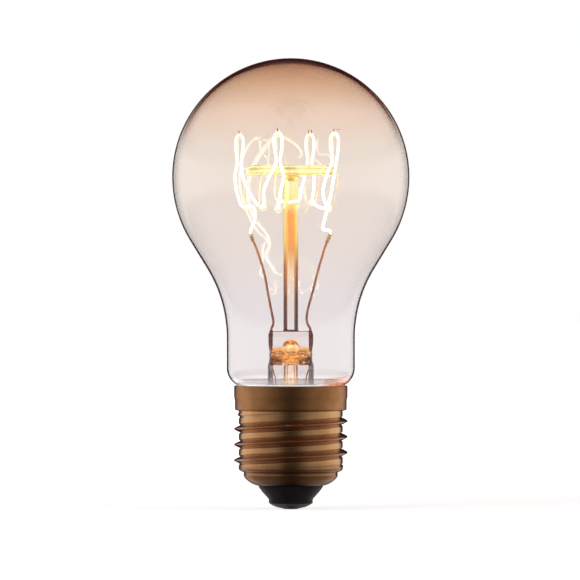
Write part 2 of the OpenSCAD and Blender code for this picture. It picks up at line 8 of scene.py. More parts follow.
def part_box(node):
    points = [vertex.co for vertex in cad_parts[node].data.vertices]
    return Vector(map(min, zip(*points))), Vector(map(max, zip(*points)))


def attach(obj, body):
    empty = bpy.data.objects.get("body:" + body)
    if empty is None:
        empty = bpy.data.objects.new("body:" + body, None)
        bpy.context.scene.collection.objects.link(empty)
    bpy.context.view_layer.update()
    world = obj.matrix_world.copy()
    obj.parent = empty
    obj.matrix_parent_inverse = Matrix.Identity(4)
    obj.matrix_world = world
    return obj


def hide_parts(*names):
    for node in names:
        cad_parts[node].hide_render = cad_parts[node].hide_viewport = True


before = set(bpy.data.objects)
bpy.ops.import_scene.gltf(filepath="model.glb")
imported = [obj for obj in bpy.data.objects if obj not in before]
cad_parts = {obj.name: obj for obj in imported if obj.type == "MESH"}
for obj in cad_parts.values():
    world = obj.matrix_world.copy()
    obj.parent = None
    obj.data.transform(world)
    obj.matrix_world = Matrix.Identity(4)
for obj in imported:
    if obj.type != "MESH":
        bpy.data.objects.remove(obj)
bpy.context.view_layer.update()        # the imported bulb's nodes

mm = 0.001
mergeGap = 0.002 * mm    # points closer than this become one
scene = bpy.context.scene
body = "root"            # the bulb has no joints, so every piece rides on this one
print("frame loaded:", len(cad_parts), "nodes")


# Small helpers

def arcPoints(centre, radius, start, end, steps):
    # points of an arc in the (radius, height) plane, angles in degrees from +r
    points = []
    for k in range(steps + 1):
        a = math.radians(start + (end - start) * k / steps)
        points.append((centre[0] + radius * math.cos(a), centre[1] + radius * math.sin(a)))
    return points


def cleanShape(bm):
    # merges doubled points and turns the faces outwards
    bmesh.ops.remove_doubles(bm, verts=bm.verts, dist=mergeGap)
    bmesh.ops.recalc_face_normals(bm, faces=bm.faces)


def spinProfile(points, sides, closed=True):
    # turns an outline of (radius, height) points, in mm, round the lamp's axis
    bm = bmesh.new()
    verts = [bm.verts.new((r * mm, 0, z * mm)) for r, z in points]
    edges = [bm.edges.new(pair) for pair in zip(verts, verts[1:])]
    if closed:
        edges.append(bm.edges.new((verts[-1], verts[0])))
    bmesh.ops.spin(
        bm, geom=verts + edges, cent=(0, 0, 0), axis=(0, 0, 1), dvec=(0, 0, 0),
        angle=2 * math.pi, steps=sides, use_merge=True, use_duplicate=False,
    )
    cleanShape(bm)
    return bm


def sceneObject(name, data):
    made = bpy.data.objects.new(name, data)
    scene.collection.objects.link(made)
    return made


def meshOf(name, bm):
    mesh = bpy.data.meshes.new(name)
    bm.to_mesh(mesh)
    bm.free()
    return mesh


def smoothFaces(mesh, sharpAngle=None):
    # smooth shading, broken at edges sharper than an angle in degrees
    mesh.polygons.foreach_set("use_smooth", [True] * len(mesh.polygons))
    if sharpAngle is not None:
        mesh.set_sharp_from_angle(angle=math.radians(sharpAngle))


def claimMesh(name, mesh, material, node, sharpAngle=None):
    # a named piece that rides on the bulb and stands for a CAD node
    smoothFaces(mesh, sharpAngle)
    mesh.materials.append(material)
    piece = sceneObject(name, mesh)
    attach(piece, body)
    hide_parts(node)
    return piece


def makePiece(node, bm, material, sharpAngle=None):
    # the piece for a node, named after it: stem_flare becomes stemFlare
    first, *rest = node.split("_")
    name = first + "".join(word.capitalize() for word in rest)
    return claimMesh(name, meshOf(name, bm), material, node, sharpAngle)


def smoothRoute(route, steps):
    # Catmull-Rom curve through points given in mm, as the solid's own route
    points = [Vector(p) for p in route]
    last = len(points) - 1
    out = []
    for i in range(last):
        a, b, c, d = points[max(i - 1, 0)], points[i], points[i + 1], points[min(i + 2, last)]
        for k in range(steps):
            t = k / steps
            out.append(0.5 * (2 * b + (c - a) * t + (2 * a - 5 * b + 4 * c - d) * t ** 2
                              + (3 * b - a - 3 * c + d) * t ** 3))
    return out + [points[last]]


def evenRoute(points, gap):
    # the same route with its points a steady gap apart
    out = [points[0].copy()]
    need = gap
    for a, b in zip(points, points[1:]):
        length = (b - a).length
        along = need
        while along <= length:
            out.append(a.lerp(b, along / length))
            along += gap
        need = along - length
    return out


def windAlong(points, radius, perTurn):
    # a coil wound round a route, with perTurn of the route's points to each turn
    across = Vector((0.31, 0.95, 0.05))      # any direction that the route doesn't take
    out = []
    turn = 0.0
    for i, p in enumerate(points):
        along = (points[min(i + 1, len(points) - 1)] - points[max(i - 1, 0)]).normalized()
        across = (across - across.dot(along) * along).normalized()
        side = along.cross(across)
        out.append(p + radius * (math.cos(turn) * across + math.sin(turn) * side))
        turn += 2 * math.pi / perTurn
    return out


def wireMesh(name, points, diameter):
    # sweeps a thin wire, four-sided, along points in mm and returns its mesh
    curve = bpy.data.curves.new(name, "CURVE")
    curve.dimensions = "3D"
    curve.bevel_depth = diameter / 2 * mm
    curve.bevel_resolution = 0
    curve.use_fill_caps = True
    spline = curve.splines.new("POLY")
    spline.points.add(len(points) - 1)
    flat = []
    for p in points:
        flat += [p[0] * mm, p[1] * mm, p[2] * mm, 1.0]
    spline.points.foreach_set("co", flat)
    maker = sceneObject(name + "Maker", curve)
    graph = bpy.context.evaluated_depsgraph_get()
    mesh = bpy.data.meshes.new_from_object(maker.evaluated_get(graph))
    mesh.name = name
    bpy.data.objects.remove(maker)
    bpy.data.curves.remove(curve)
    return mesh


def refinedCopy(node, grow):
    # a faceted wire node merged, back to quads and swollen a little, ready to be subdivided
    bm = bmesh.new()
    bm.from_mesh(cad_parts[node].data)
    cleanShape(bm)
    bmesh.ops.join_triangles(
        bm, faces=bm.faces, angle_face_threshold=math.radians(50), angle_shape_threshold=math.radians(60),
    )
    bm.normal_update()
    for vert in bm.verts:
        vert.co += vert.normal * grow * mm
    return bm


# Shader node helpers

white = (1.0, 1.0, 1.0)
black = (0.0, 0.0, 0.0)


def opaque(colour):
    # three numbers as the four that a colour socket takes
    return (*colour, 1.0)


def feed(tree, node, inputs):
    # gives each input its value, or the socket that feeds it
    for key, value in inputs.items():
        if isinstance(value, bpy.types.NodeSocket):
            tree.links.new(value, node.inputs[key])
        else:
            node.inputs[key].default_value = value


def addNode(tree, kind, inputs=None, **settings):
    node = tree.nodes.new(kind)
    for key, value in settings.items():
        setattr(node, key, value)
    feed(tree, node, inputs or {})
    return node


def mixColours(tree, factor, low, high, blend="MIX"):
    # low and high are sockets or colours of three numbers
    low, high = (opaque(c) if isinstance(c, tuple) else c for c in (low, high))
    node = addNode(tree, "ShaderNodeMix", {0: factor, 6: low, 7: high}, data_type="RGBA", blend_type=blend)
    return node.outputs[2]


def multiplied(tree, low, high):
    return mixColours(tree, 1.0, low, high, "MULTIPLY")


def mathOf(tree, operation, a, b=0.0, clamp=False):
    node = addNode(tree, "ShaderNodeMath", {0: a, 1: b}, operation=operation, use_clamp=clamp)
    return node.outputs[0]


def mapRange(tree, value, low, high, kind="LINEAR"):
    # 0 at low, 1 at high
    node = addNode(tree, "ShaderNodeMapRange", {0: value, 1: low, 2: high}, interpolation_type=kind)
    return node.outputs[0]


def rampOf(tree, factor, stops):
    # a colour ramp from a list of (place, colour)
    node = addNode(tree, "ShaderNodeValToRGB", {"Fac": factor})
    stops = [(place, opaque(colour)) for place, colour in stops]
    elements = node.color_ramp.elements
    elements[0].position, elements[0].color = stops[0]
    elements[1].position, elements[1].color = stops[-1]
    for place, colour in stops[1:-1]:
        elements.new(place).color = colour
    return node.outputs["Color"]


def greyRamp(tree, factor, stops):
    # a ramp from a list of (place, grey)
    return rampOf(tree, factor, [(place, (grey, grey, grey)) for place, grey in stops])


def placeOf(tree):
    # the place on the lamp, in metres
    return addNode(tree, "ShaderNodeTexCoord").outputs["Object"]


def partsOf(tree, vector):
    return addNode(tree, "ShaderNodeSeparateXYZ", {0: vector}).outputs


def levelOf(tree, vector):
    # the vector without its height
    return addNode(tree, "ShaderNodeVectorMath", {0: vector, 1: (1, 1, 0)}, operation="MULTIPLY").outputs[0]


def heightOf(tree):
    return partsOf(tree, placeOf(tree))["Z"]


def radiusOf(tree):
    level = levelOf(tree, placeOf(tree))
    return addNode(tree, "ShaderNodeVectorMath", {0: level}, operation="LENGTH").outputs["Value"]


def newGroup(name, inputs):
    # a shader node group with named float inputs and one output
    group = bpy.data.node_groups.new(name, "ShaderNodeTree")
    for title, value in inputs.items():
        socket = group.interface.new_socket(name=title, in_out="INPUT", socket_type="NodeSocketFloat")
        socket.default_value = value
    group.interface.new_socket(name="Value", in_out="OUTPUT", socket_type="NodeSocketFloat")
    source = group.nodes.new("NodeGroupInput")
    sink = group.nodes.new("NodeGroupOutput")
    return group, source.outputs, sink.inputs[0]


def useGroup(tree, group, **values):
    return addNode(tree, "ShaderNodeGroup", values, node_tree=group).outputs[0]


def rangeGroup(name, measure, kind):
    # how far a measure of the place is between Low and High, all in metres
    group, given, out = newGroup(name, {"Low": 0.0, "High": 0.1})
    group.links.new(mapRange(group, measure(group), given["Low"], given["High"], kind), out)
    return group


def blotchGroup():
    # cloudy variation between 0 and 1, in grains per metre; Upright below 1 draws it out up the lamp
    inputs = {"Scale": 100.0, "Detail": 4.0, "Low": 0.4, "High": 0.6, "Upright": 1.0}
    group, given, out = newGroup("blotches", inputs)
    squeeze = addNode(group, "ShaderNodeCombineXYZ", {0: 1.0, 1: 1.0, 2: given["Upright"]}).outputs[0]
    drawn = addNode(group, "ShaderNodeVectorMath", {0: placeOf(group), 1: squeeze}, operation="MULTIPLY")
    noise = addNode(group, "ShaderNodeTexNoise", {
        "Vector": drawn.outputs[0], "Scale": given["Scale"], "Detail": given["Detail"], "Roughness": 0.6,
    })
    group.links.new(mapRange(group, noise.outputs[0], given["Low"], given["High"]), out)
    return group


def turnedGroup():
    # fine lines that run round the lamp's axis, as rolling or turning leaves on metal
    group, given, out = newGroup("turnedLines", {"Scale": 4000.0, "Sweep": 30.0})
    place = partsOf(group, placeOf(group))
    wide = mathOf(group, "MULTIPLY", place["X"], given["Sweep"])
    deep = mathOf(group, "MULTIPLY", place["Y"], given["Sweep"])
    tall = mathOf(group, "MULTIPLY", place["Z"], given["Scale"])
    joined = addNode(group, "ShaderNodeCombineXYZ", {0: wide, 1: deep, 2: tall}).outputs[0]
    noise = addNode(group, "ShaderNodeTexNoise", {"Vector": joined, "Scale": 1.0, "Detail": 2.0})
    group.links.new(noise.outputs[0], out)
    return group


heightMask = rangeGroup("heightMask", heightOf, "SMOOTHSTEP")
heightShare = rangeGroup("heightShare", heightOf, "LINEAR")
radiusMask = rangeGroup("radiusMask", radiusOf, "SMOOTHSTEP")
blotches = blotchGroup()
turnedLines = turnedGroup()
print("node groups ready")


def heightBetween(tree, low, high):
    # 0 at the first height in mm, 1 at the second
    return useGroup(tree, heightMask, Low=low * mm, High=high * mm)


def bandMask(tree, low, high, soft):
    # 1 between two heights in mm, with soft edges
    above = heightBetween(tree, low - soft, low + soft)
    below = heightBetween(tree, high - soft, high + soft)
    return mathOf(tree, "SUBTRACT", above, below, clamp=True)


def cloudsOf(tree, scale, detail, low, high, upright=1.0):
    return useGroup(tree, blotches, Scale=scale, Detail=detail, Low=low, High=high, Upright=upright)


# Finishes

rimLead = 0.55       # a painted rim's soft shade starts at this share of where the rim itself does
waveDepth = 0.0002


def newMaterial(name):
    material = bpy.data.materials.new(name)
    material.use_nodes = True
    return material, material.node_tree, material.node_tree.nodes["Principled BSDF"]


def bumpFrom(tree, height, strength, distance):
    node = addNode(tree, "ShaderNodeBump", {"Height": height, "Strength": strength, "Distance": distance})
    return node.outputs["Normal"]


def facingOf(tree):
    # 0 where a surface faces the eye, 1 where it is seen edge on
    return addNode(tree, "ShaderNodeLayerWeight", {"Blend": 0.5}).outputs["Facing"]


def rampUp(tree, stops):
    # colours up the lamp from a list of (height in mm, colour)
    low, high = stops[0][0], stops[-1][0]
    share = useGroup(tree, heightShare, Low=low * mm, High=high * mm)
    return rampOf(tree, share, [((z - low) / (high - low), colour) for z, colour in stops])


def paintedRimColour(tree, tint, look):
    # the tint, with a painted rim where the wall is seen edge on: painted shade on most glass, painted light
    # lines on the rod, and a painted outline where a look gives one
    facing = facingOf(tree)
    for bolder in look.get("bolder", []):
        there = heightBetween(tree, bolder["from"], bolder["to"])
        facing = mathOf(tree, "ADD", facing, mathOf(tree, "MULTIPLY", there, bolder["by"]))
    start, soft = look["edgeFrom"], look.get("soft", 0.0)
    rim = greyRamp(tree, facing, [(start * rimLead, 0.0), (start, soft), (look["edgeTo"], 1.0)])
    colour = mixColours(tree, rim, tint, rampUp(tree, look["edge"]))
    if look.get("outline"):
        outline = look["outline"]
        thin = greyRamp(tree, facing, [(outline["from"], 0.0), (outline["to"], 1.0)])
        colour = mixColours(tree, thin, colour, rampUp(tree, outline["colours"]))
    return colour


def crinkledWaves(tree, waves, crinkle):
    # the wrinkles that the pinching tongs leave in the press
    band = bandMask(tree, crinkle["low"], crinkle["high"], crinkle["soft"])
    deep = mathOf(tree, "MULTIPLY", cloudsOf(tree, crinkle["scale"], 2.0, 0.35, 0.65), band)
    return mathOf(tree, "ADD", waves, mathOf(tree, "MULTIPLY", deep, crinkle["depth"]))


def bowedBelow(tree, colour, low, bow):
    # takes a band's light away under a curve that rises towards its sides
    place = partsOf(tree, placeOf(tree))
    rise = mathOf(tree, "MULTIPLY", mathOf(tree, "MULTIPLY", place["X"], place["X"]), bow)
    height = mathOf(tree, "SUBTRACT", place["Z"], rise)
    return mixColours(tree, mapRange(tree, height, low * mm, (low + 0.5) * mm), black, colour)


def collarWedgeMask(tree, smear):
    # a grainy wedge that climbs away from the axis
    place = partsOf(tree, placeOf(tree))
    line = mathOf(tree, "MULTIPLY", mathOf(tree, "SUBTRACT", place["X"], smear["start"] * mm), smear["climb"])
    under = mathOf(tree, "SUBTRACT", mathOf(tree, "ADD", line, smear["height"] * mm), place["Z"])
    soft = smear["soft"] * mm
    wedge = mathOf(tree, "MULTIPLY", mapRange(tree, under, -soft, soft), mapRange(tree, line, 0.0, soft))
    return mathOf(tree, "MULTIPLY", wedge, cloudsOf(tree, smear["scale"], 3.0, 0.30, 0.55))


def paintedGlowColour(tree, glow):
    # painted glow: emission that stands for the filament's light caught in the glass, a colour up its height,
    # broken into flecks
    colour = rampUp(tree, glow["colours"])
    if glow.get("bow"):
        colour = bowedBelow(tree, colour, glow["colours"][0][0], glow["bow"])
    flecks = cloudsOf(tree, glow["scale"], 3.0, glow["from"], glow["to"], glow.get("streaks", 1.0))
    return multiplied(tree, colour, mixColours(tree, flecks, glow["between"], white))


def glassFinish(name, look, rimmed=True):
    # clear glass: tinted up its height, with a painted rim where the wall is seen edge on, painted glow and
    # warm painted reflections where a look gives them, and faint waves
    material, tree, shader = newMaterial(name)
    tint = rampUp(tree, look["tint"])
    smear = look.get("smear")
    if smear:
        inCollarWedge = collarWedgeMask(tree, smear)
        tint = mixColours(tree, inCollarWedge, tint, smear["colour"])
    waves = cloudsOf(tree, look["waves"], 1.0, 0.0, 1.0)
    if look.get("crinkle"):
        waves = crinkledWaves(tree, waves, look["crinkle"])
    # gleam tints the reflections warm: a painted reflection of the filament's light
    feed(tree, shader, {
        "Base Color": paintedRimColour(tree, tint, look) if rimmed else tint, "Transmission Weight": 1.0,
        "Roughness": 0.0, "IOR": 1.5, "Specular Tint": opaque(look.get("gleam", white)),
        "Normal": bumpFrom(tree, waves, look["waveStrength"], waveDepth),
    })
    # painted glow, as emission
    if look.get("glow"):
        lit = paintedGlowColour(tree, look["glow"])
        if smear:
            lit = mixColours(tree, inCollarWedge, lit, smear["lit"])
        feed(tree, shader, {"Emission Color": lit, "Emission Strength": look["glow"]["strength"]})
    return material


envelopeLook = {
    # height in mm and colour, squared by the two walls that the eye looks through
    "tint": [
        (24, (0.93, 0.90, 0.91)), (48, (0.935, 0.90, 0.90)), (60, (0.945, 0.89, 0.86)),
        (83, (0.945, 0.875, 0.82)), (92, (0.96, 0.825, 0.735)), (99, (0.85, 0.65, 0.50)),
        (102.0, (0.76, 0.52, 0.39)), (104.1, (0.66, 0.38, 0.25)),
    ],
    # edge and bolder: a painted dark rim where the wall is seen edge on, red-brown at the crown and widened
    # in two bands
    "edge": [
        (24, (0.013, 0.0095, 0.009)), (84, (0.014, 0.007, 0.006)), (98, (0.030, 0.002, 0.001)),
        (104.1, (0.060, 0.0012, 0.0003)),
    ],
    "edgeFrom": 0.825, "edgeTo": 0.86, "waves": 60.0, "waveStrength": 0.01, "soft": 0.07,
    "bolder": [{"from": 70, "to": 45, "by": 0.075}, {"from": 96, "to": 103, "by": 0.15}],
    # glow: painted light round the neck and collar, standing for the filament's light seen through the glass
    # there
    "glow": {
        "strength": 0.36, "scale": 500.0, "from": 0.35, "to": 0.65, "between": (0.90, 0.88, 0.86),
        "colours": [
            (28.0, (0.76, 0.77, 0.78)), (28.9, (0.74, 0.75, 0.76)), (29.4, (0.52, 0.54, 0.56)),
            (29.9, (0.46, 0.48, 0.50)), (30.15, (0.04, 0.04, 0.04)), (30.4, (0, 0, 0)),
            (104, (0, 0, 0)),
        ],
    },
    # a grainy salmon wedge on one side of the collar, with a painted glow of its own in lit: lengths in mm
    # from the axis and up the lamp
    "smear": {
        "start": 7.8, "height": 28.6, "climb": 0.26, "soft": 0.25, "scale": 900.0,
        "colour": (0.88, 0.56, 0.41), "lit": (0.66, 0.16, 0.06),
    },
}
stemLook = {
    # the orange band across the press, in tint and glow, and the warm gleam are painted light from the
    # filament; edge is a painted dark rim
    "tint": [
        (23, (0.96, 0.94, 0.94)), (33.4, (0.96, 0.94, 0.93)), (34.2, (0.96, 0.58, 0.22)),
        (36.6, (0.90, 0.42, 0.12)), (37.0, (0.94, 0.52, 0.22)), (37.35, (0.97, 0.94, 0.92)),
        (41.1, (0.96, 0.90, 0.88)),
    ],
    "edge": [
        (23, (0.003, 0.0012, 0.001)), (32.6, (0.003, 0.0012, 0.001)),
        (34.0, (0.050, 0.002, 0.0004)), (41.1, (0.040, 0.0016, 0.0004)),
    ],
    "gleam": (1.0, 0.55, 0.42), "edgeFrom": 0.46, "edgeTo": 0.54, "waves": 400.0, "waveStrength": 0.25,
    "crinkle": {"low": 34.0, "high": 37.2, "soft": 0.5, "scale": 900.0, "depth": 1.5},
    "glow": {
        "strength": 0.36, "scale": 1100.0, "from": 0.44, "to": 0.58, "bow": 90.0,
        "between": (0.16, 0.06, 0.02),
        "colours": [
            (33.7, (0, 0, 0)), (34.1, (1.0, 0.56, 0.16)), (36.4, (0.85, 0.46, 0.12)),
            (37.0, (0.30, 0.14, 0.03)), (37.3, (0, 0, 0)), (40.4, (0, 0, 0)),
            (40.8, (0.55, 0.10, 0.04)), (41.1, (0.55, 0.10, 0.04)),
        ],
    },
}
domeLook = {
    # the dome's orange tint, glow and gleam are painted light from the filament; edge is a painted dark rim
    "tint": [(34, (1.0, 0.62, 0.24)), (39.2, (1.0, 0.72, 0.34))],
    "edge": [(34, (0.08, 0.02, 0.004)), (39.2, (0.04, 0.008, 0.002))],
    "gleam": (1.0, 0.75, 0.5), "edgeFrom": 0.60, "edgeTo": 0.70, "waves": 500.0, "waveStrength": 0.3,
    "crinkle": {"low": 33.0, "high": 40.0, "soft": 0.5, "scale": 1200.0, "depth": 1.5},
    "glow": {
        "strength": 0.90, "scale": 900.0, "from": 0.42, "to": 0.60, "between": (0.20, 0.07, 0.02),
        "colours": [
            (34, (0.25, 0.14, 0.05)), (36.6, (0.25, 0.14, 0.05)), (37.8, (0.95, 0.46, 0.06)),
            (39.2, (0.95, 0.40, 0.04)),
        ],
    },
}
tubeLook = {
    # edge is a painted rim, golden low down and dark above; glow and gleam are painted light from the
    # filament
    "tint": [(12, (0.98, 0.95, 0.90)), (35, (1.0, 0.94, 0.89))],
    "edge": [
        (12, (0.2, 0.1, 0.04)), (29, (0.40, 0.20, 0.05)), (31, (0.10, 0.014, 0.004)),
        (35, (0.08, 0.010, 0.003)),
    ],
    "gleam": (1.0, 0.75, 0.55), "edgeFrom": 0.27, "edgeTo": 0.33, "waves": 300.0, "waveStrength": 0.05,
    "glow": {
        "strength": 0.20, "scale": 900.0, "from": 0.35, "to": 0.60, "between": (0.3, 0.16, 0.08),
        "colours": [
            (12, (0, 0, 0)), (27, (0.6, 0.45, 0.2)), (29, (0.9, 0.62, 0.22)),
            (31.5, (0.55, 0.26, 0.15)), (35, (0.50, 0.22, 0.12)),
        ],
    },
}
rodLook = {
    # painted light: the orange and pale yellow tint, glow and gleam stand for the filament's glow seen in the
    # clear rod; edge paints light lines along its sides, dark low down, and outline a painted dark rim
    "tint": [
        (41, (0.98, 0.96, 0.95)), (49, (1.0, 0.94, 0.86)), (55, (1.0, 0.84, 0.62)),
        (60, (0.95, 0.44, 0.12)), (68, (0.95, 0.43, 0.10)), (71, (1.0, 0.86, 0.42)),
        (75.4, (1.0, 0.98, 0.74)), (76.1, (0.55, 0.36, 0.05)), (77, (0.90, 0.80, 0.3)),
    ],
    "edge": [
        (41, (0.020, 0.003, 0.0015)), (49, (0.070, 0.010, 0.002)), (56, (0.40, 0.10, 0.01)),
        (62, (1.0, 0.80, 0.22)), (71, (1.0, 0.92, 0.42)), (77, (0.95, 0.95, 0.45)),
    ],
    "gleam": (1.0, 0.55, 0.38), "edgeFrom": 0.09, "edgeTo": 0.14, "waves": 200.0, "waveStrength": 0.05,
    "outline": {
        "from": 0.58, "to": 0.66,
        "colours": [
            (41, (0.020, 0.003, 0.0015)), (53, (0.05, 0.01, 0.002)), (60, (0.16, 0.06, 0.006)),
            (77, (0.30, 0.20, 0.03)),
        ],
    },
    "glow": {
        "strength": 0.20, "scale": 300.0, "from": 0.3, "to": 0.6, "streaks": 0.12,
        "between": (0.35, 0.25, 0.12),
        "colours": [
            (48, (0, 0, 0)), (57, (0.35, 0.12, 0.02)), (66, (0.9, 0.45, 0.08)),
            (72, (0.8, 0.75, 0.25)), (77, (0.8, 0.80, 0.30)),
        ],
    },
}
discLook = {
    # painted light: the disc's yellow tint, edge and glow stand for the filament's glow seen in the clear
    # glass
    "tint": [(76.8, (0.88, 0.62, 0.14)), (77.5, (1.0, 0.94, 0.55)), (79.4, (1.0, 1.0, 0.80))],
    "edge": [(76.8, (0.55, 0.33, 0.04)), (77.5, (0.95, 0.86, 0.40)), (79.4, (0.95, 0.95, 0.55))],
    "edgeFrom": 0.3, "edgeTo": 0.8, "waves": 300.0, "waveStrength": 0.2,
    "glow": {
        "strength": 0.36, "scale": 260.0, "from": 0.44, "to": 0.58, "between": (0.18, 0.11, 0.015),
        "colours": [
            (76.8, (0.42, 0.26, 0.04)), (77.8, (1.0, 0.94, 0.42)), (79.4, (0.98, 1.0, 0.66)),
        ],
    },
}


def solidFinish(name, look):
    # metal, cement or black glass: clouded, toned by height, with painted shade in the thread's grooves and
    # where it is seen edge on, a painted line on the thread's crests, a painted glow on some wires, and a
    # fine surface
    material, tree, shader = newMaterial(name)
    cloud = cloudsOf(tree, look["scale"], 6.0, 0.35, 0.65)
    colour = mixColours(tree, cloud, look["light"], look["dark"])
    # the thread: painted shade in its grooves and a painted line on its crests
    for part in look.get("thread", []):
        there = useGroup(tree, radiusMask, Low=part["from"] * mm, High=part["to"] * mm)
        there = mathOf(tree, "MULTIPLY", there, bandMask(tree, *look["threadBand"]))
        colour = mixColours(tree, there, colour, part["colour"])
    low, high = look["roughness"]
    rough = addNode(tree, "ShaderNodeMapRange", {0: cloud, 3: low, 4: high}).outputs[0]
    for zone in look.get("zones", []):
        there = heightBetween(tree, zone["from"], zone["to"])
        colour = mixColours(tree, there, colour, multiplied(tree, colour, zone["tone"]))
        rough = mathOf(tree, "ADD", rough, mathOf(tree, "MULTIPLY", there, zone["rougher"]))
    # a painted dark outline where the surface is seen edge on
    if look.get("edge"):
        edge = greyRamp(tree, facingOf(tree), [(look["edgeFrom"], 0.0), (look["edgeTo"], 1.0)])
        colour = mixColours(tree, edge, colour, look["edge"])
    if look.get("lines"):
        height = useGroup(tree, turnedLines, Scale=look["lines"])
    else:
        height = cloudsOf(tree, look["scale"] * look.get("grain", 6), 4.0, 0.0, 1.0)
    feed(tree, shader, {
        "Base Color": colour, "Metallic": look.get("metallic", 1.0), "Roughness": rough,
        "Specular IOR Level": look.get("gloss", 0.5),
        "Normal": bumpFrom(tree, height, look["bump"], look.get("relief", 0.0001)),
    })
    # painted glow: the filament's light on the wires, as emission
    if look.get("lit"):
        lit = look["lit"]
        feed(tree, shader, {
            "Emission Color": rampUp(tree, lit["colours"]), "Emission Strength": lit["strength"],
        })
    return material


brassLook = {
    "light": (0.81, 0.445, 0.205), "dark": (0.67, 0.355, 0.155), "scale": 250.0,
    # colours of the thread by radius in mm, between two heights with a soft edge: painted shade in the
    # grooves and a painted line on the crests
    "thread": [
        {"from": 12.0, "to": 11.5, "colour": (0.30, 0.215, 0.185)},
        {"from": 12.05, "to": 12.4, "colour": (0.58, 0.32, 0.18)},
    ],
    "threadBand": (9.3, 22.9, 0.3),
    "zones": [
        {"from": 22.6, "to": 23.0, "tone": (0.67, 0.57, 0.50), "rougher": 0.16},     # the smooth band
        {"from": 11.3, "to": 9.1, "tone": (0.56, 0.52, 0.56), "rougher": 0.0},       # painted shade, darker down to the lip
        {"from": 6.8, "to": 5.9, "tone": (0.45, 0.45, 0.48), "rougher": 0.1},        # painted shade under the lip
    ],
    # edge: a painted dark outline where the cap is seen edge on
    "edge": (0.06, 0.035, 0.03), "edgeFrom": 0.74, "edgeTo": 0.88,
    "roughness": (0.16, 0.24), "lines": 5000.0, "bump": 0.08,
}
copperLook = {
    "light": (0.66, 0.30, 0.15), "dark": (0.30, 0.12, 0.07), "scale": 600.0,
    "roughness": (0.30, 0.45), "bump": 0.2,
    # lit: painted glow, the filament's light on the leads, as emission
    "lit": {"strength": 0.30, "colours": [
        (41, (0, 0, 0)), (50, (0.14, 0.035, 0.01)), (58, (0.66, 0.22, 0.05)),
        (63, (0.90, 0.40, 0.09)),
    ]},
}
hookLook = {
    "light": (0.80, 0.72, 0.62), "dark": (0.55, 0.46, 0.38), "scale": 900.0,
    "roughness": (0.35, 0.55), "bump": 0.2,
    # lit: painted glow, the filament's light on the hooks, as emission
    "lit": {"strength": 0.7, "colours": [
        (69, (0.9, 0.72, 0.45)), (84, (1.0, 0.84, 0.56)), (86.5, (0.7, 0.42, 0.2)),
        (87.1, (0.36, 0.20, 0.11)),
    ]},
}
clampLook = {
    "light": (0.62, 0.42, 0.16), "dark": (0.20, 0.12, 0.06), "scale": 1500.0,
    "roughness": (0.35, 0.55), "bump": 0.3,
    # lit: painted glow, the filament's light on the clamps, as emission
    "lit": {"strength": 0.20, "colours": [(61, (0.6, 0.28, 0.08)), (64, (0.8, 0.5, 0.2))]},
}
sealLook = {
    "light": (0.32, 0.045, 0.018), "dark": (0.12, 0.012, 0.005), "scale": 900.0,
    "roughness": (0.35, 0.5), "bump": 0.2, "metallic": 0.6,
}
contactLook = {
    "light": (0.48, 0.36, 0.39), "dark": (0.28, 0.21, 0.23), "scale": 500.0,
    "roughness": (0.42, 0.6), "bump": 0.2, "metallic": 0.7,
}
solderLook = {
    "light": (0.52, 0.52, 0.53), "dark": (0.30, 0.30, 0.32), "scale": 700.0,
    "roughness": (0.25, 0.5), "bump": 0.35,
}
blackGlassLook = {
    "light": (0.018, 0.016, 0.017), "dark": (0.030, 0.027, 0.029), "scale": 300.0, "grain": 3,
    "roughness": (0.25, 0.4), "bump": 0.08, "relief": 0.0002, "gloss": 0.16, "metallic": 0.0,
}
cementLook = {
    "light": (0.90, 0.80, 0.66), "dark": (0.80, 0.68, 0.52), "scale": 400.0, "grain": 3,
    "roughness": (0.8, 0.95), "bump": 0.5, "relief": 0.0002, "gloss": 0.3, "metallic": 0.0,
}
filamentLook = {
    "hot": (1.0, 0.92, 0.72), "ends": (1.0, 0.80, 0.52), "warmFrom": 62, "warmTo": 66, "strength": 5.0,
    "metal": (0.25, 0.23, 0.22), "roughness": 0.5,
}


def filamentFinish():
    # glowing tungsten, a little redder towards the cooler clamped ends
    material, tree, shader = newMaterial("filamentGlow")
    warm = heightBetween(tree, filamentLook["warmFrom"], filamentLook["warmTo"])
    feed(tree, shader, {
        "Emission Color": mixColours(tree, warm, filamentLook["ends"], filamentLook["hot"]),
        "Emission Strength": filamentLook["strength"], "Base Color": opaque(filamentLook["metal"]),
        "Metallic": 1.0, "Roughness": filamentLook["roughness"],
    })
    return material


envelopeGlass = glassFinish("envelopeGlass", envelopeLook)
envelopeInside = glassFinish("envelopeInside", dict(envelopeLook, glow=None), rimmed=False)
stemGlass = glassFinish("stemGlass", stemLook)
domeGlass = glassFinish("domeGlass", domeLook)
tubeGlass = glassFinish("tubeGlass", tubeLook)
rodGlass = glassFinish("rodGlass", rodLook)
discGlass = glassFinish("discGlass", discLook)
shellBrass = solidFinish("shellBrass", brassLook)
leadCopper = solidFinish("leadCopper", copperLook)
hookWire = solidFinish("hookWire", hookLook)
clampMetal = solidFinish("clampMetal", clampLook)
sealCopper = solidFinish("sealCopper", sealLook)
contactBrass = solidFinish("contactBrass", contactLook)
contactSolder = solidFinish("contactSolder", contactLook)
sideSolder = solidFinish("sideSolder", solderLook)
blackGlass = solidFinish("blackGlass", blackGlassLook)
cement = solidFinish("cement", cementLook)
filamentGlow = filamentFinish()
print("finishes ready:", len(bpy.data.materials))


# Glass envelope

envelope = {
    "wall": 0.7, "cheekRadius": 28.2, "flankAngle": 31.4, "waistRadius": 30.6, "neckRadius": 14.8,
    "shoulderRadius": 4.6, "shoulderZ": 32.6, "collarRadius": 11.9, "footZ": 24.4, "sides": 192,
}


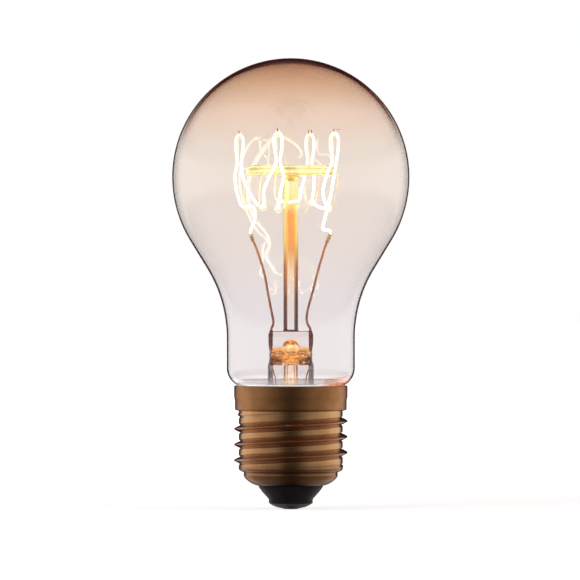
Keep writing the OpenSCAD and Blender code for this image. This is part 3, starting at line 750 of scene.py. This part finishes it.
def envelopeOutline(inset):
    # from the crown down to the foot, drawn in by inset
    low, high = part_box("glass_envelope")
    headRadius = (high.x - low.x) / 2 / mm
    headZ = high.z / mm - headRadius
    lean = math.radians(envelope["flankAngle"])
    cheek = envelope["cheekRadius"]
    cheekAxis = headRadius - cheek
    waist = envelope["waistRadius"]
    neck = envelope["neckRadius"]
    flankTop = (cheekAxis + cheek * math.cos(lean), headZ - cheek * math.sin(lean))
    flankFootZ = flankTop[1] - (flankTop[0] - neck) / math.tan(lean)
    waistZ = flankFootZ - waist * math.tan(lean / 2)
    shoulder = envelope["shoulderRadius"]
    shoulderAxis = neck - shoulder
    collar = envelope["collarRadius"] - inset
    collarTurn = math.degrees(math.acos((collar - shoulderAxis) / (shoulder - inset)))
    points = arcPoints((0, headZ), headRadius - inset, 90, 0, 44)
    points += arcPoints((cheekAxis, headZ), cheek - inset, 0, -envelope["flankAngle"], 14)[1:]
    points += arcPoints((neck + waist, waistZ), waist + inset, 180 - envelope["flankAngle"], 180, 16)
    points += arcPoints((shoulderAxis, envelope["shoulderZ"]), shoulder - inset, 0, -collarTurn, 14)
    points.append((collar, envelope["footZ"]))
    return points


def buildEnvelope():
    outline = envelopeOutline(0) + list(reversed(envelopeOutline(envelope["wall"])))
    bm = spinProfile(outline, envelope["sides"])
    middle = Vector((0, 0, 0.075))
    for face in bm.faces:
        if face.normal.dot(face.calc_center_median() - middle) < 0:
            face.material_index = 1       # the inner wall
    piece = makePiece("glass_envelope", bm, envelopeGlass)
    piece.data.materials.append(envelopeInside)


buildEnvelope()
print("envelope built")


# Stem: flare tube, press, exhaust tube, rod and disc

stem = {
    "sides": 72, "tubeRadius": 5.35, "boreRadius": 4.75, "rimRadius": 11.9, "rimTop": 24.4, "rimWall": 0.6,
    "curveRadius": 4.2, "curveSteps": 14,
    "straight": [28.9, 30.2, 31.6, 32.9],    # heights of rings that keep the tube's wall straight
    # height, half width, half depth and squareness of the pressed part, from the tube up
    "press": [
        (33.2, 5.35, 5.35, 1.0), (34.0, 5.1, 4.75, 0.95), (34.7, 4.9, 3.9, 0.85), (35.4, 4.85, 2.9, 0.75),
        (36.1, 4.9, 2.15, 0.62), (36.9, 5.0, 1.75, 0.52), (38.0, 5.15, 1.65, 0.46), (39.5, 5.2, 1.65, 0.44),
        (40.3, 5.2, 1.6, 0.44), (40.75, 5.05, 1.4, 0.46), (41.0, 4.75, 1.05, 0.5), (41.08, 4.2, 0.6, 0.6),
    ],
    # the hollow of the tube, from its closed wedge down
    "hollow": [
        (35.3, 3.1, 0.3, 0.9), (35.0, 3.8, 0.85, 0.9), (34.5, 4.25, 1.85, 0.92), (33.9, 4.55, 3.2, 0.96),
        (33.2, 4.75, 4.75, 1.0),
    ],
    "domeRadius": 2.2, "domeAt": (0, -0.7, 36.9),
}


def placeRing(verts, turn, ring):
    # puts a ring's vertices on a rounded rectangle: height, half width, half depth, squareness
    height, wide, deep, power = ring
    for vert in verts:
        c, s = math.cos(vert[turn]), math.sin(vert[turn])
        vert.co = (
            math.copysign(abs(c) ** power, c) * wide * mm,
            math.copysign(abs(s) ** power, s) * deep * mm,
            height * mm,
        )


def ringChain(rings, sides):
    # one skin through a chain of rings, each extruded from the last and then placed
    bm = bmesh.new()
    turn = bm.verts.layers.float.new("turn")
    verts = bmesh.ops.create_circle(bm, cap_ends=False, radius=1, segments=sides)["verts"]
    for vert in verts:
        vert[turn] = math.atan2(vert.co.y, vert.co.x)
    edges = list(bm.edges)
    placeRing(verts, turn, rings[0])
    for ring in rings[1:]:
        made = bmesh.ops.extrude_edge_only(bm, edges=edges)["geom"]
        verts = [g for g in made if isinstance(g, bmesh.types.BMVert)]
        edges = [g for g in made if isinstance(g, bmesh.types.BMEdge)]
        placeRing(verts, turn, ring)
    cleanShape(bm)
    return bm


def stemRings():
    # the hollow's closed top, down inside, round the rim, up outside, over the press
    centre = (stem["tubeRadius"] + stem["curveRadius"], stem["rimTop"] + stem["curveRadius"])
    outer = arcPoints(centre, stem["curveRadius"], 270, 180, stem["curveSteps"])
    inner = arcPoints(centre, stem["curveRadius"] + stem["rimWall"], 180, 270, stem["curveSteps"])
    rim = stem["rimRadius"]
    rings = [(35.35, 0, 0, 1)] + stem["hollow"]
    rings += [(z, stem["boreRadius"], stem["boreRadius"], 1) for z in reversed(stem["straight"])]
    rings += [(z, r, r, 1) for r, z in inner]
    rings += [(stem["rimTop"] - stem["rimWall"], rim, rim, 1), (stem["rimTop"], rim, rim, 1)]
    rings += [(z, r, r, 1) for r, z in outer]
    rings += [(z, stem["tubeRadius"], stem["tubeRadius"], 1) for z in stem["straight"]]
    rings += stem["press"] + [(41.1, 0, 0, 1)]
    return rings


def cutWith(piece, cutter, cutterName):
    # cuts a closed shape out of a piece and keeps the result as its mesh
    tool = sceneObject(cutterName, meshOf(cutterName, cutter))
    cut = piece.modifiers.new("cut", "BOOLEAN")
    cut.operation = "DIFFERENCE"
    cut.solver = "EXACT"
    cut.object = tool
    graph = bpy.context.evaluated_depsgraph_get()
    cutMesh = bpy.data.meshes.new_from_object(piece.evaluated_get(graph))
    piece.modifiers.clear()
    piece.data = cutMesh
    bpy.data.objects.remove(tool)
    smoothFaces(piece.data, 40)


def buildStem():
    bm = ringChain(stemRings(), stem["sides"])
    piece = makePiece("stem_flare", bm, stemGlass)
    piece.data.materials.append(domeGlass)
    hole = bmesh.new()
    bmesh.ops.create_uvsphere(hole, u_segments=48, v_segments=32, radius=stem["domeRadius"] * mm)
    for face in hole.faces:
        face.material_index = 1           # the cut's own faces keep the dome's finish
    bmesh.ops.translate(hole, verts=hole.verts, vec=Vector(stem["domeAt"]) * mm)
    cutWith(piece, hole, "blowHole")


exhaust = {
    "radius": 1.65, "bore": 0.95, "tip": 12.6, "length": 21.8, "bevel": 0.1, "sides": 64,
    # radius and height over the tip, or height alone
    "end": [(0, 0), (0.35, 0.05), (0.7, 0.5), (1.2, 1.3), (1.5, 1.9)],
    "straight": [2.6, 3.0, 11.4, 17.4, 21.3, 21.7],
    "boreStraight": [21.7, 21.3, 17.4, 11.4, 3.2],
    "boreEnd": [(0.8, 2.6), (0.45, 2.0), (0, 1.7)],
}


def buildExhaustTube():
    r, bore, length, bevel = exhaust["radius"], exhaust["bore"], exhaust["length"], exhaust["bevel"]
    outline = exhaust["end"] + [(r, up) for up in exhaust["straight"]]
    outline += [(r - bevel, length), (bore + bevel, length)]
    outline += [(bore, up) for up in exhaust["boreStraight"]] + exhaust["boreEnd"]
    bm = spinProfile([(x, exhaust["tip"] + up) for x, up in outline], exhaust["sides"], closed=False)
    makePiece("exhaust_tube", bm, tubeGlass)


rod = {"radius": 1.7, "foot": 41.12, "top": 76.88, "footFillet": 0.35, "headFillet": 1.0, "sides": 64}


def buildRod():
    r, foot, top = rod["radius"], rod["foot"], rod["top"]
    low, high = rod["footFillet"], rod["headFillet"]
    outline = [(0, foot)]
    outline += arcPoints((r + low, foot + low), low, 270, 180, 6)
    outline += [(r, foot + 0.7), (r, foot + 2), (r, (foot + top) / 2), (r, top - 2), (r, top - high - 0.2)]
    outline += arcPoints((r + high, top - high), high, 180, 90, 8)
    outline += [(0, top)]
    bm = spinProfile(outline, rod["sides"], closed=False)
    makePiece("support_rod", bm, rodGlass)


disc = {"radius": 10.4, "low": 76.9, "thick": 2.4, "ringGap": 0.3, "sides": 128}


def buildDisc():
    low, half = disc["low"], disc["thick"] / 2
    rim = disc["radius"] - half
    ring = rim - disc["ringGap"]
    outline = [(0, low), (ring, low)] + arcPoints((rim, low + half), half, -90, 90, 20)
    outline += [(ring, low + 2 * half), (0, low + 2 * half)]
    bm = spinProfile(outline, disc["sides"], closed=False)
    makePiece("rod_disc", bm, discGlass)


buildStem()
buildExhaustTube()
buildRod()
buildDisc()
print("stem built")


# Filament and the wires that hold it

filament = {
    "coilRadius": 0.235, "wire": 0.15, "turnGap": 0.21, "perTurn": 8,
    "route": [
        (-9.08, 0, 62.95), (-9.22, 0, 63.37), (-9.36, 0, 63.8), (-9.1, 0, 64.8),
        (-8.6, -0.2, 66), (-8.3, -0.5, 67.6), (-8.4, -0.8, 69.2),
        (-9, -0.5, 70), (-9.9, 0.2, 69.9), (-10.75, 0.75, 69.95),
        (-11.45, 1.1, 70.2), (-12.2, 1.3, 72.2), (-12.7, 1.3, 74.4), (-12.9, 1.3, 77),
        (-12.4, 1.1, 80.3), (-12.7, 1.1, 83.5),
        (-12.6, 1.1, 85.6), (-11.85, 1.1, 86.4), (-11.1, 1.1, 85.6),
        (-11, 1, 83.5), (-11.4, 0.8, 80.3), (-11.2, 0.2, 77), (-9.9, -1.3, 73.8), (-8.2, -3.4, 70.9),
        (-7.2, -5, 70), (-6.4, -6.6, 69.7), (-6.1, -7.6, 70.5),
        (-6.2, -8.8, 73.4), (-4.9, -10.5, 76.6), (-3.4, -11.4, 80), (-3.8, -11.5, 83.5),
        (-3.7, -11.5, 85.8), (-2.9, -11.5, 86.6), (-2.1, -11.5, 85.8),
        (-2, -11.5, 83.5), (-2.4, -11.4, 80), (-1.7, -11.2, 76.6), (-2.3, -9.8, 73.4), (-2.8, -8.4, 70.2),
        (-2.9, -7, 69.3), (-2.9, -5.4, 69.7), (-3, -2.5, 70.6), (-2.6, 1, 71),
        (-1.2, 4.4, 71.1), (0.8, 7, 70.9),
        (2, 8.6, 71.6), (2.5, 9.6, 74), (3.2, 10.6, 76.8), (4, 11, 80), (3.6, 11, 83.6),
        (3.7, 11, 86), (4.5, 11, 86.9), (5.3, 11, 86),
        (5.4, 11, 83.6), (5, 11, 80), (5.4, 10.8, 76.8), (5.4, 10.5, 74), (5, 10, 71.9),
        (4.95, 8.9, 71.05), (5.4, 7.5, 70.5), (6.9, 4.6, 69.7), (8.3, 1.4, 69.4),
        (8.7, -1, 69.5), (7.9, -3.4, 70.6),
        (7.4, -5.2, 73.4), (8.2, -7.4, 76.9), (9.5, -6.6, 80.3), (9.1, -6.5, 83.5),
        (9.2, -6.5, 85.8), (10, -6.5, 86.6), (10.8, -6.5, 85.8),
        (10.9, -6.5, 83.5), (10.5, -6.8, 80.2), (9.9, -7.3, 76.9), (9.3, -7.2, 73.2), (8.6, -6.2, 70),
        (7.9, -4.2, 67.4), (7.4, -1.6, 65.3), (7.7, -0.5, 64.5), (8.4, -0.1, 64.5), (9.05, 0, 64.2),
        (9.17, 0, 63.66), (8.96, 0, 63.16), (8.76, 0, 62.69),
    ],
}


def buildFilament():
    perTurn = filament["perTurn"]
    route = evenRoute(smoothRoute(filament["route"], 12), filament["turnGap"] / perTurn)
    coil = windAlong(route, filament["coilRadius"], perTurn)
    mesh = wireMesh("filamentCoil", coil, filament["wire"])
    claimMesh("filamentCoil", mesh, filamentGlow, "filament")
    print("filament:", round(len(coil) / perTurn), "turns,", len(mesh.polygons), "faces")


def buildWires(nodes, material, grow):
    for node in nodes:
        piece = makePiece(node, refinedCopy(node, grow), material)
        subdivision = piece.modifiers.new("round", "SUBSURF")
        subdivision.levels = 2
        subdivision.render_levels = 2


clampSizes = {
    "radius": 0.37, "bore": 0.27, "sides": 24, "rows": 12, "pinch": 0.07, "flatten": (1.08, 0.9, 1),
    "left": (-9.05, 62.85, -18, 1.5), "right": (8.72, 62.6, 23, 2.0),    # x, z, lean in degrees, length
}


def buildClamp(side):
    # a little sleeve, crimped flat at two places
    x, z, lean, length = clampSizes[side]
    half = length / 2
    bore, rows = clampSizes["bore"], clampSizes["rows"]
    outline = [(bore, -half)]
    for k in range(rows + 1):
        pinch = clampSizes["pinch"] * math.cos(4 * math.pi * k / rows)
        outline.append((clampSizes["radius"] + pinch, -half + length * k / rows))
    outline.append((bore, half))
    bm = spinProfile(outline, clampSizes["sides"])
    bmesh.ops.scale(bm, vec=clampSizes["flatten"], verts=bm.verts)
    bmesh.ops.rotate(bm, cent=(0, 0, 0), matrix=Matrix.Rotation(math.radians(lean), 3, "Y"), verts=bm.verts)
    bmesh.ops.translate(bm, vec=(x * mm, 0, z * mm), verts=bm.verts)
    makePiece(f"filament_clamp_{side}", bm, clampMetal, 50)


buildFilament()
buildWires([f"upper_hook_{number}" for number in range(1, 5)], hookWire, -0.03)
buildWires([f"lower_hook_{number}" for number in range(1, 6)], hookWire, 0.03)
buildWires(["inner_lead_left", "inner_lead_right"], leadCopper, 0.03)
buildWires(["outer_lead_shell", "outer_lead_contact"], leadCopper, 0.015)
buildClamp("left")
buildClamp("right")

seal = {
    "radius": 0.46, "spacing": 9.0, "low": 33.2, "top": 41.25, "sides": 24,
    "footBevel": 0.06, "topBevel": 0.08, "bevelHeight": 0.1, "rows": 20, "bead": 0.03, "beadTurn": 2.3,
}


def buildSealWire(node, side):
    # a copper coated wire with small beads of oxide where it leaves the press
    r, low, top, rows = seal["radius"], seal["low"], seal["top"], seal["rows"]
    outline = [(0, low), (r - seal["footBevel"], low), (r, low + seal["bevelHeight"])]
    for k in range(1, rows):
        bead = seal["bead"] * math.sin(k * seal["beadTurn"])
        outline.append((r + bead, low + (top - low) * k / rows))
    outline += [(r, top - seal["bevelHeight"]), (r - seal["topBevel"], top), (0, top)]
    bm = spinProfile(outline, seal["sides"], closed=False)
    bmesh.ops.translate(bm, vec=(side * seal["spacing"] / 2 * mm, 0, 0), verts=bm.verts)
    makePiece(node, bm, sealCopper)


buildSealWire("seal_wire_left", -1)
buildSealWire("seal_wire_right", 1)
print("wires built")


# Screw cap

shell = {
    "sides": 168, "rowGap": 0.13, "pitch": 25.4 / 7, "crestZ": 15.8, "threadLow": 9.4, "threadTop": 22.5,
    "root": 12.0, "crest": 1.12, "crestWidth": 0.14, "groove": 0.42, "grooveAt": 0.235, "grooveWidth": 0.055,
    "fade": 0.5, "sheet": 0.35,
    # radius and height of the plain parts, from the top edge down and on to the lip's edge
    "skirt": [
        (12.98, 28.5), (13.08, 28.42), (13.1, 28.25), (13.1, 26.3), (13.08, 26.0), (13.03, 25.7),
        (12.97, 25.4), (12.92, 25.1), (12.9, 24.8), (12.9, 23.3), (12.86, 23.0), (12.7, 22.85),
        (12.3, 22.75), (11.95, 22.65),
    ],
    "lip": [
        (12.0, 9.3), (11.85, 8.98), (11.4, 8.72), (10.95, 8.55), (10.78, 8.4), (10.82, 8.2), (10.86, 8.0),
        (10.82, 7.7), (10.68, 7.35), (10.4, 6.98), (10.0, 6.62), (9.45, 6.22), (8.85, 5.85), (8.2, 5.58),
        (7.75, 5.46), (7.62, 5.42),
    ],
}


def threadHeight(z, turn):
    # how far the rolled sheet stands out at a height and a turn round the axis
    up = (z - shell["crestZ"]) / shell["pitch"] - turn
    off = abs(up - round(up))
    ends = min((z - shell["threadLow"]) / shell["pitch"], (shell["threadTop"] - z) / shell["pitch"])
    fade = min(max(ends / shell["fade"], 0), 1)
    fade = fade * fade * (3 - 2 * fade)
    crest = shell["crest"] * math.exp(-(off / shell["crestWidth"]) ** 2)
    groove = shell["groove"] * math.exp(-((off - shell["grooveAt"]) / shell["grooveWidth"]) ** 2)
    return fade * (crest - groove)


def buildShell():
    rows = round((shell["threadTop"] - shell["threadLow"]) / shell["rowGap"])
    step = (shell["threadTop"] - shell["threadLow"]) / rows
    thread = [(shell["root"], shell["threadTop"] - step * k) for k in range(rows + 1)]
    bm = spinProfile(shell["skirt"] + thread + shell["lip"], shell["sides"], closed=False)
    for vert in bm.verts:
        z = vert.co.z / mm
        if shell["threadLow"] < z < shell["threadTop"]:
            radius = math.hypot(vert.co.x, vert.co.y)
            turn = math.atan2(vert.co.y, vert.co.x) / (2 * math.pi) + 0.25
            grown = 1 + threadHeight(z, turn) * mm / radius
            vert.co.x *= grown
            vert.co.y *= grown
    bmesh.ops.recalc_face_normals(bm, faces=bm.faces)
    if sum(f.normal.x * f.calc_center_median().x for f in bm.faces) < 0:
        bmesh.ops.reverse_faces(bm, faces=bm.faces)
    piece = makePiece("screw_shell", bm, shellBrass)
    sheet = piece.modifiers.new("sheet", "SOLIDIFY")
    sheet.thickness = shell["sheet"] * mm
    sheet.offset = -1


insulator = {
    "sides": 128,
    "outline": [
        (1.6, 0.75), (4.6, 1.3), (4.95, 1.3), (5.02, 1.34), (5.06, 1.42), (5.08, 2.1), (5.16, 2.35),
        (5.3, 2.55), (6.55, 3.92), (7.3, 4.95), (7.42, 5.2), (7.4, 5.5), (7.3, 5.95), (8.2, 6.2), (9.2, 6.8),
        (9.9, 7.5), (10.1, 8.1), (10.0, 8.5), (9.7, 8.6), (7.0, 7.2), (3.5, 5.7), (1.6, 5.4),
    ],
}
plate = {
    "sides": 96, "radius": 4.95, "thick": 0.35, "rise": 1.15, "power": 3.2, "lift": 0.15, "hole": 1.3,
    "rows": 14, "edge": [(0.04, 0.12), (0.03, 0.24)],
}
contactBead = {
    "sides": 64,
    "outline": [
        (0, 0), (0.9, 0), (1.4, 0.02), (1.75, 0.08), (2.1, 0.2), (2.4, 0.32), (2.6, 0.44),
        (2.3, 0.42), (1.3, 0.3), (1.28, 0.6), (1.2, 1.25), (0.9, 1.32), (0, 1.35),
    ],
}


def buildInsulator():
    bm = spinProfile(insulator["outline"], insulator["sides"])
    makePiece("cap_insulator", bm, blackGlass, 35)


def plateHeight(r, lift):
    return lift + plate["rise"] * (r / plate["radius"]) ** plate["power"]


def buildPlate():
    rows = plate["rows"]
    radii = [plate["hole"] + (plate["radius"] - plate["hole"]) * k / rows for k in range(rows + 1)]
    under = [(r, plateHeight(r, plate["lift"])) for r in radii]
    edge = [(plate["radius"] + out, under[-1][1] + up) for out, up in plate["edge"]]
    over = [(r, plateHeight(r, plate["lift"] + plate["thick"])) for r in reversed(radii)]
    bm = spinProfile(under + edge + over, plate["sides"])
    makePiece("contact_plate", bm, contactBrass, 50)


def buildContactSolder():
    bm = spinProfile(contactBead["outline"], contactBead["sides"], closed=False)
    makePiece("contact_solder", bm, contactSolder, 60)


def dressNode(node, material):
    # a CAD node whose shape is right keeps it and gets its finish
    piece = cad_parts[node]
    piece.data.materials.clear()
    piece.data.materials.append(material)


buildShell()
buildInsulator()
buildPlate()
buildContactSolder()
dressNode("basing_cement", cement)
dressNode("side_solder", sideSolder)
print("cap built")


# Stage, light and camera

studio = {
    "overhead": (0.12, 0.02, 0.01), "throughFrom": 0.11, "throughTo": 0.26,
    "ceiling": (0.19, 0.15, 0.14), "glossFrom": 0.36, "glossTo": 0.62,
    # what shiny pieces see round the horizon: the angle from the camera's side, and a grey
    "around": [(0, 0.04), (15, 0.075), (29, 0.205), (42, 0.30), (60, 0.39), (85, 0.56), (104, 0.78),
               (133, 0.82), (144, 0.3)],
    "behind": (0.050, 0.024, 0.019), "behindFrom": 151,    # what the rims of the glass reflect
}


def studioGrey(tree, way):
    # the grey that shiny pieces see, by the direction from the lamp to the place
    unit = addNode(tree, "ShaderNodeVectorMath", {0: levelOf(tree, way)}, operation="NORMALIZE").outputs[0]
    forward = partsOf(tree, unit)["Y"]
    turned = mathOf(tree, "ARCCOSINE", mathOf(tree, "MULTIPLY", forward, -1.0))
    stops = [(angle / 180, (grey, grey, grey)) for angle, grey in studio["around"]]
    stops += [(studio["behindFrom"] / 180, studio["behind"]), (1.0, studio["behind"])]
    return rampOf(tree, mathOf(tree, "DIVIDE", turned, math.pi), stops)


def buildWorld():
    # white to the eye and behind glass, dark brown overhead; soft cards at the sides for what is shiny
    world = bpy.data.worlds.new("studio")
    scene.world = world
    world.use_nodes = True
    tree = world.node_tree
    way = addNode(tree, "ShaderNodeTexCoord").outputs["Generated"]
    rise = partsOf(tree, way)["Z"]
    above = mapRange(tree, rise, studio["throughFrom"], studio["throughTo"], "SMOOTHSTEP")
    through = mixColours(tree, above, white, studio["overhead"])
    high = mapRange(tree, rise, studio["glossFrom"], studio["glossTo"], "SMOOTHSTEP")
    gloss = mixColours(tree, high, studioGrey(tree, way), studio["ceiling"])
    path = addNode(tree, "ShaderNodeLightPath").outputs
    colour = mixColours(tree, path["Is Transmission Ray"], gloss, through)
    colour = mixColours(tree, path["Is Camera Ray"], colour, white)
    feed(tree, tree.nodes["Background"], {"Color": colour, "Strength": 1.0})


floorSizes = {
    "radius": 8.0, "colour": (0.80, 0.80, 0.80), "cloud": (0.78, 0.78, 0.79),
    "share": 0.90, "nearTone": (0.70, 0.70, 0.70), "lampsEnd": (0.15, 0.80),
    "near": 0.015, "far": 0.12, "under": (0.80, 0.72, 0.69), "least": (0.03, 0.028, 0.027),
    "deeper": 0.6,           # how far the mirrored grey is squared close under the lamp, as painted shade
}


def glowing(tree, colour):
    return addNode(tree, "ShaderNodeEmission", {"Color": colour}).outputs[0]


def buildFloor():
    # a pale floor that the eye and the glass see as white, with the lamp's soft shadow
    bm = bmesh.new()
    bmesh.ops.create_circle(bm, cap_ends=True, radius=floorSizes["radius"], segments=64)
    mesh = meshOf("floor", bm)
    material, tree, shader = newMaterial("floorPaper")
    pale = mixColours(tree, cloudsOf(tree, 20.0, 3.0, 0.3, 0.7), floorSizes["colour"], floorSizes["cloud"])
    feed(tree, shader, {"Base Color": pale, "Roughness": 0.9})
    share = floorSizes["share"]
    shown = addNode(tree, "ShaderNodeBsdfDiffuse", {"Color": opaque((share, share, share))}).outputs[0]
    low, high = floorSizes["lampsEnd"]
    away = useGroup(tree, radiusMask, Low=low, High=high)
    tone = mixColours(tree, away, floorSizes["nearTone"], white)
    seen = addNode(tree, "ShaderNodeAddShader", {0: shown, 1: glowing(tree, tone)}).outputs[0]
    # what shiny pieces see in the floor: the studio's grey, with painted shade close under the lamp, darker
    # and warmer there by under and least
    grey = studioGrey(tree, placeOf(tree))
    dim = mixColours(tree, floorSizes["deeper"], grey, grey, "MULTIPLY")
    dim = mixColours(tree, 1.0, multiplied(tree, dim, floorSizes["under"]), floorSizes["least"], "ADD")
    near = useGroup(tree, radiusMask, Low=floorSizes["near"], High=floorSizes["far"])
    mirrored = glowing(tree, mixColours(tree, near, dim, grey))
    clear = glowing(tree, opaque(white))
    path = addNode(tree, "ShaderNodeLightPath").outputs
    surface = shader.outputs[0]
    for kind, look in (("Is Glossy Ray", mirrored), ("Is Transmission Ray", clear), ("Is Camera Ray", seen)):
        surface = addNode(tree, "ShaderNodeMixShader", {0: path[kind], 1: surface, 2: look}).outputs[0]
    tree.links.new(surface, tree.nodes["Material Output"].inputs["Surface"])
    mesh.materials.append(material)
    sceneObject("floor", mesh)


lamps = {
    "key": {"at": (-0.45, -0.35, 0.45), "size": 0.35, "power": 1.0},
    "rim": {"at": (0.50, -0.20, 0.35), "size": 0.35, "power": 0.6},
}
lampsAim = (0, 0, 0.04)


def buildLamps():
    for name, lamp in lamps.items():
        light = bpy.data.lights.new(name, "AREA")
        light.shape = "SQUARE"
        light.size = lamp["size"]
        light.energy = lamp["power"]
        holder = sceneObject(name, light)
        holder.location = lamp["at"]
        aim = Vector(lampsAim) - Vector(lamp["at"])
        holder.rotation_euler = aim.to_track_quat("-Z", "Y").to_euler()
        holder.visible_glossy = False       # no square patches of light in the glass
        holder.visible_transmission = False


view = {
    "lens": 400.0, "sensor": 36.0, "framePixels": 580, "pixelsPerMm": 4.33,
    "axisPixel": 290.8, "floorPixel": 509.0,
}


def buildCamera():
    # level with the middle of the frame, far off on a long lens, so that the cap's rings look straight
    pixels = view["framePixels"]
    distance = view["lens"] / view["sensor"] * pixels / view["pixelsPerMm"] * mm
    across = (pixels / 2 - view["axisPixel"]) / view["pixelsPerMm"] * mm
    height = (view["floorPixel"] - pixels / 2) / view["pixelsPerMm"] * mm
    camera = bpy.data.cameras.new("camera")
    camera.lens = view["lens"]
    camera.sensor_width = view["sensor"]
    camera.clip_start = 0.01
    camera.clip_end = 100
    holder = sceneObject("camera", camera)
    holder.location = (across, -distance, height)
    holder.rotation_euler = (math.radians(90), 0, 0)
    scene.camera = holder


buildWorld()
buildFloor()
buildLamps()
buildCamera()
scene.view_settings.view_transform = "Standard"
print("stage ready")
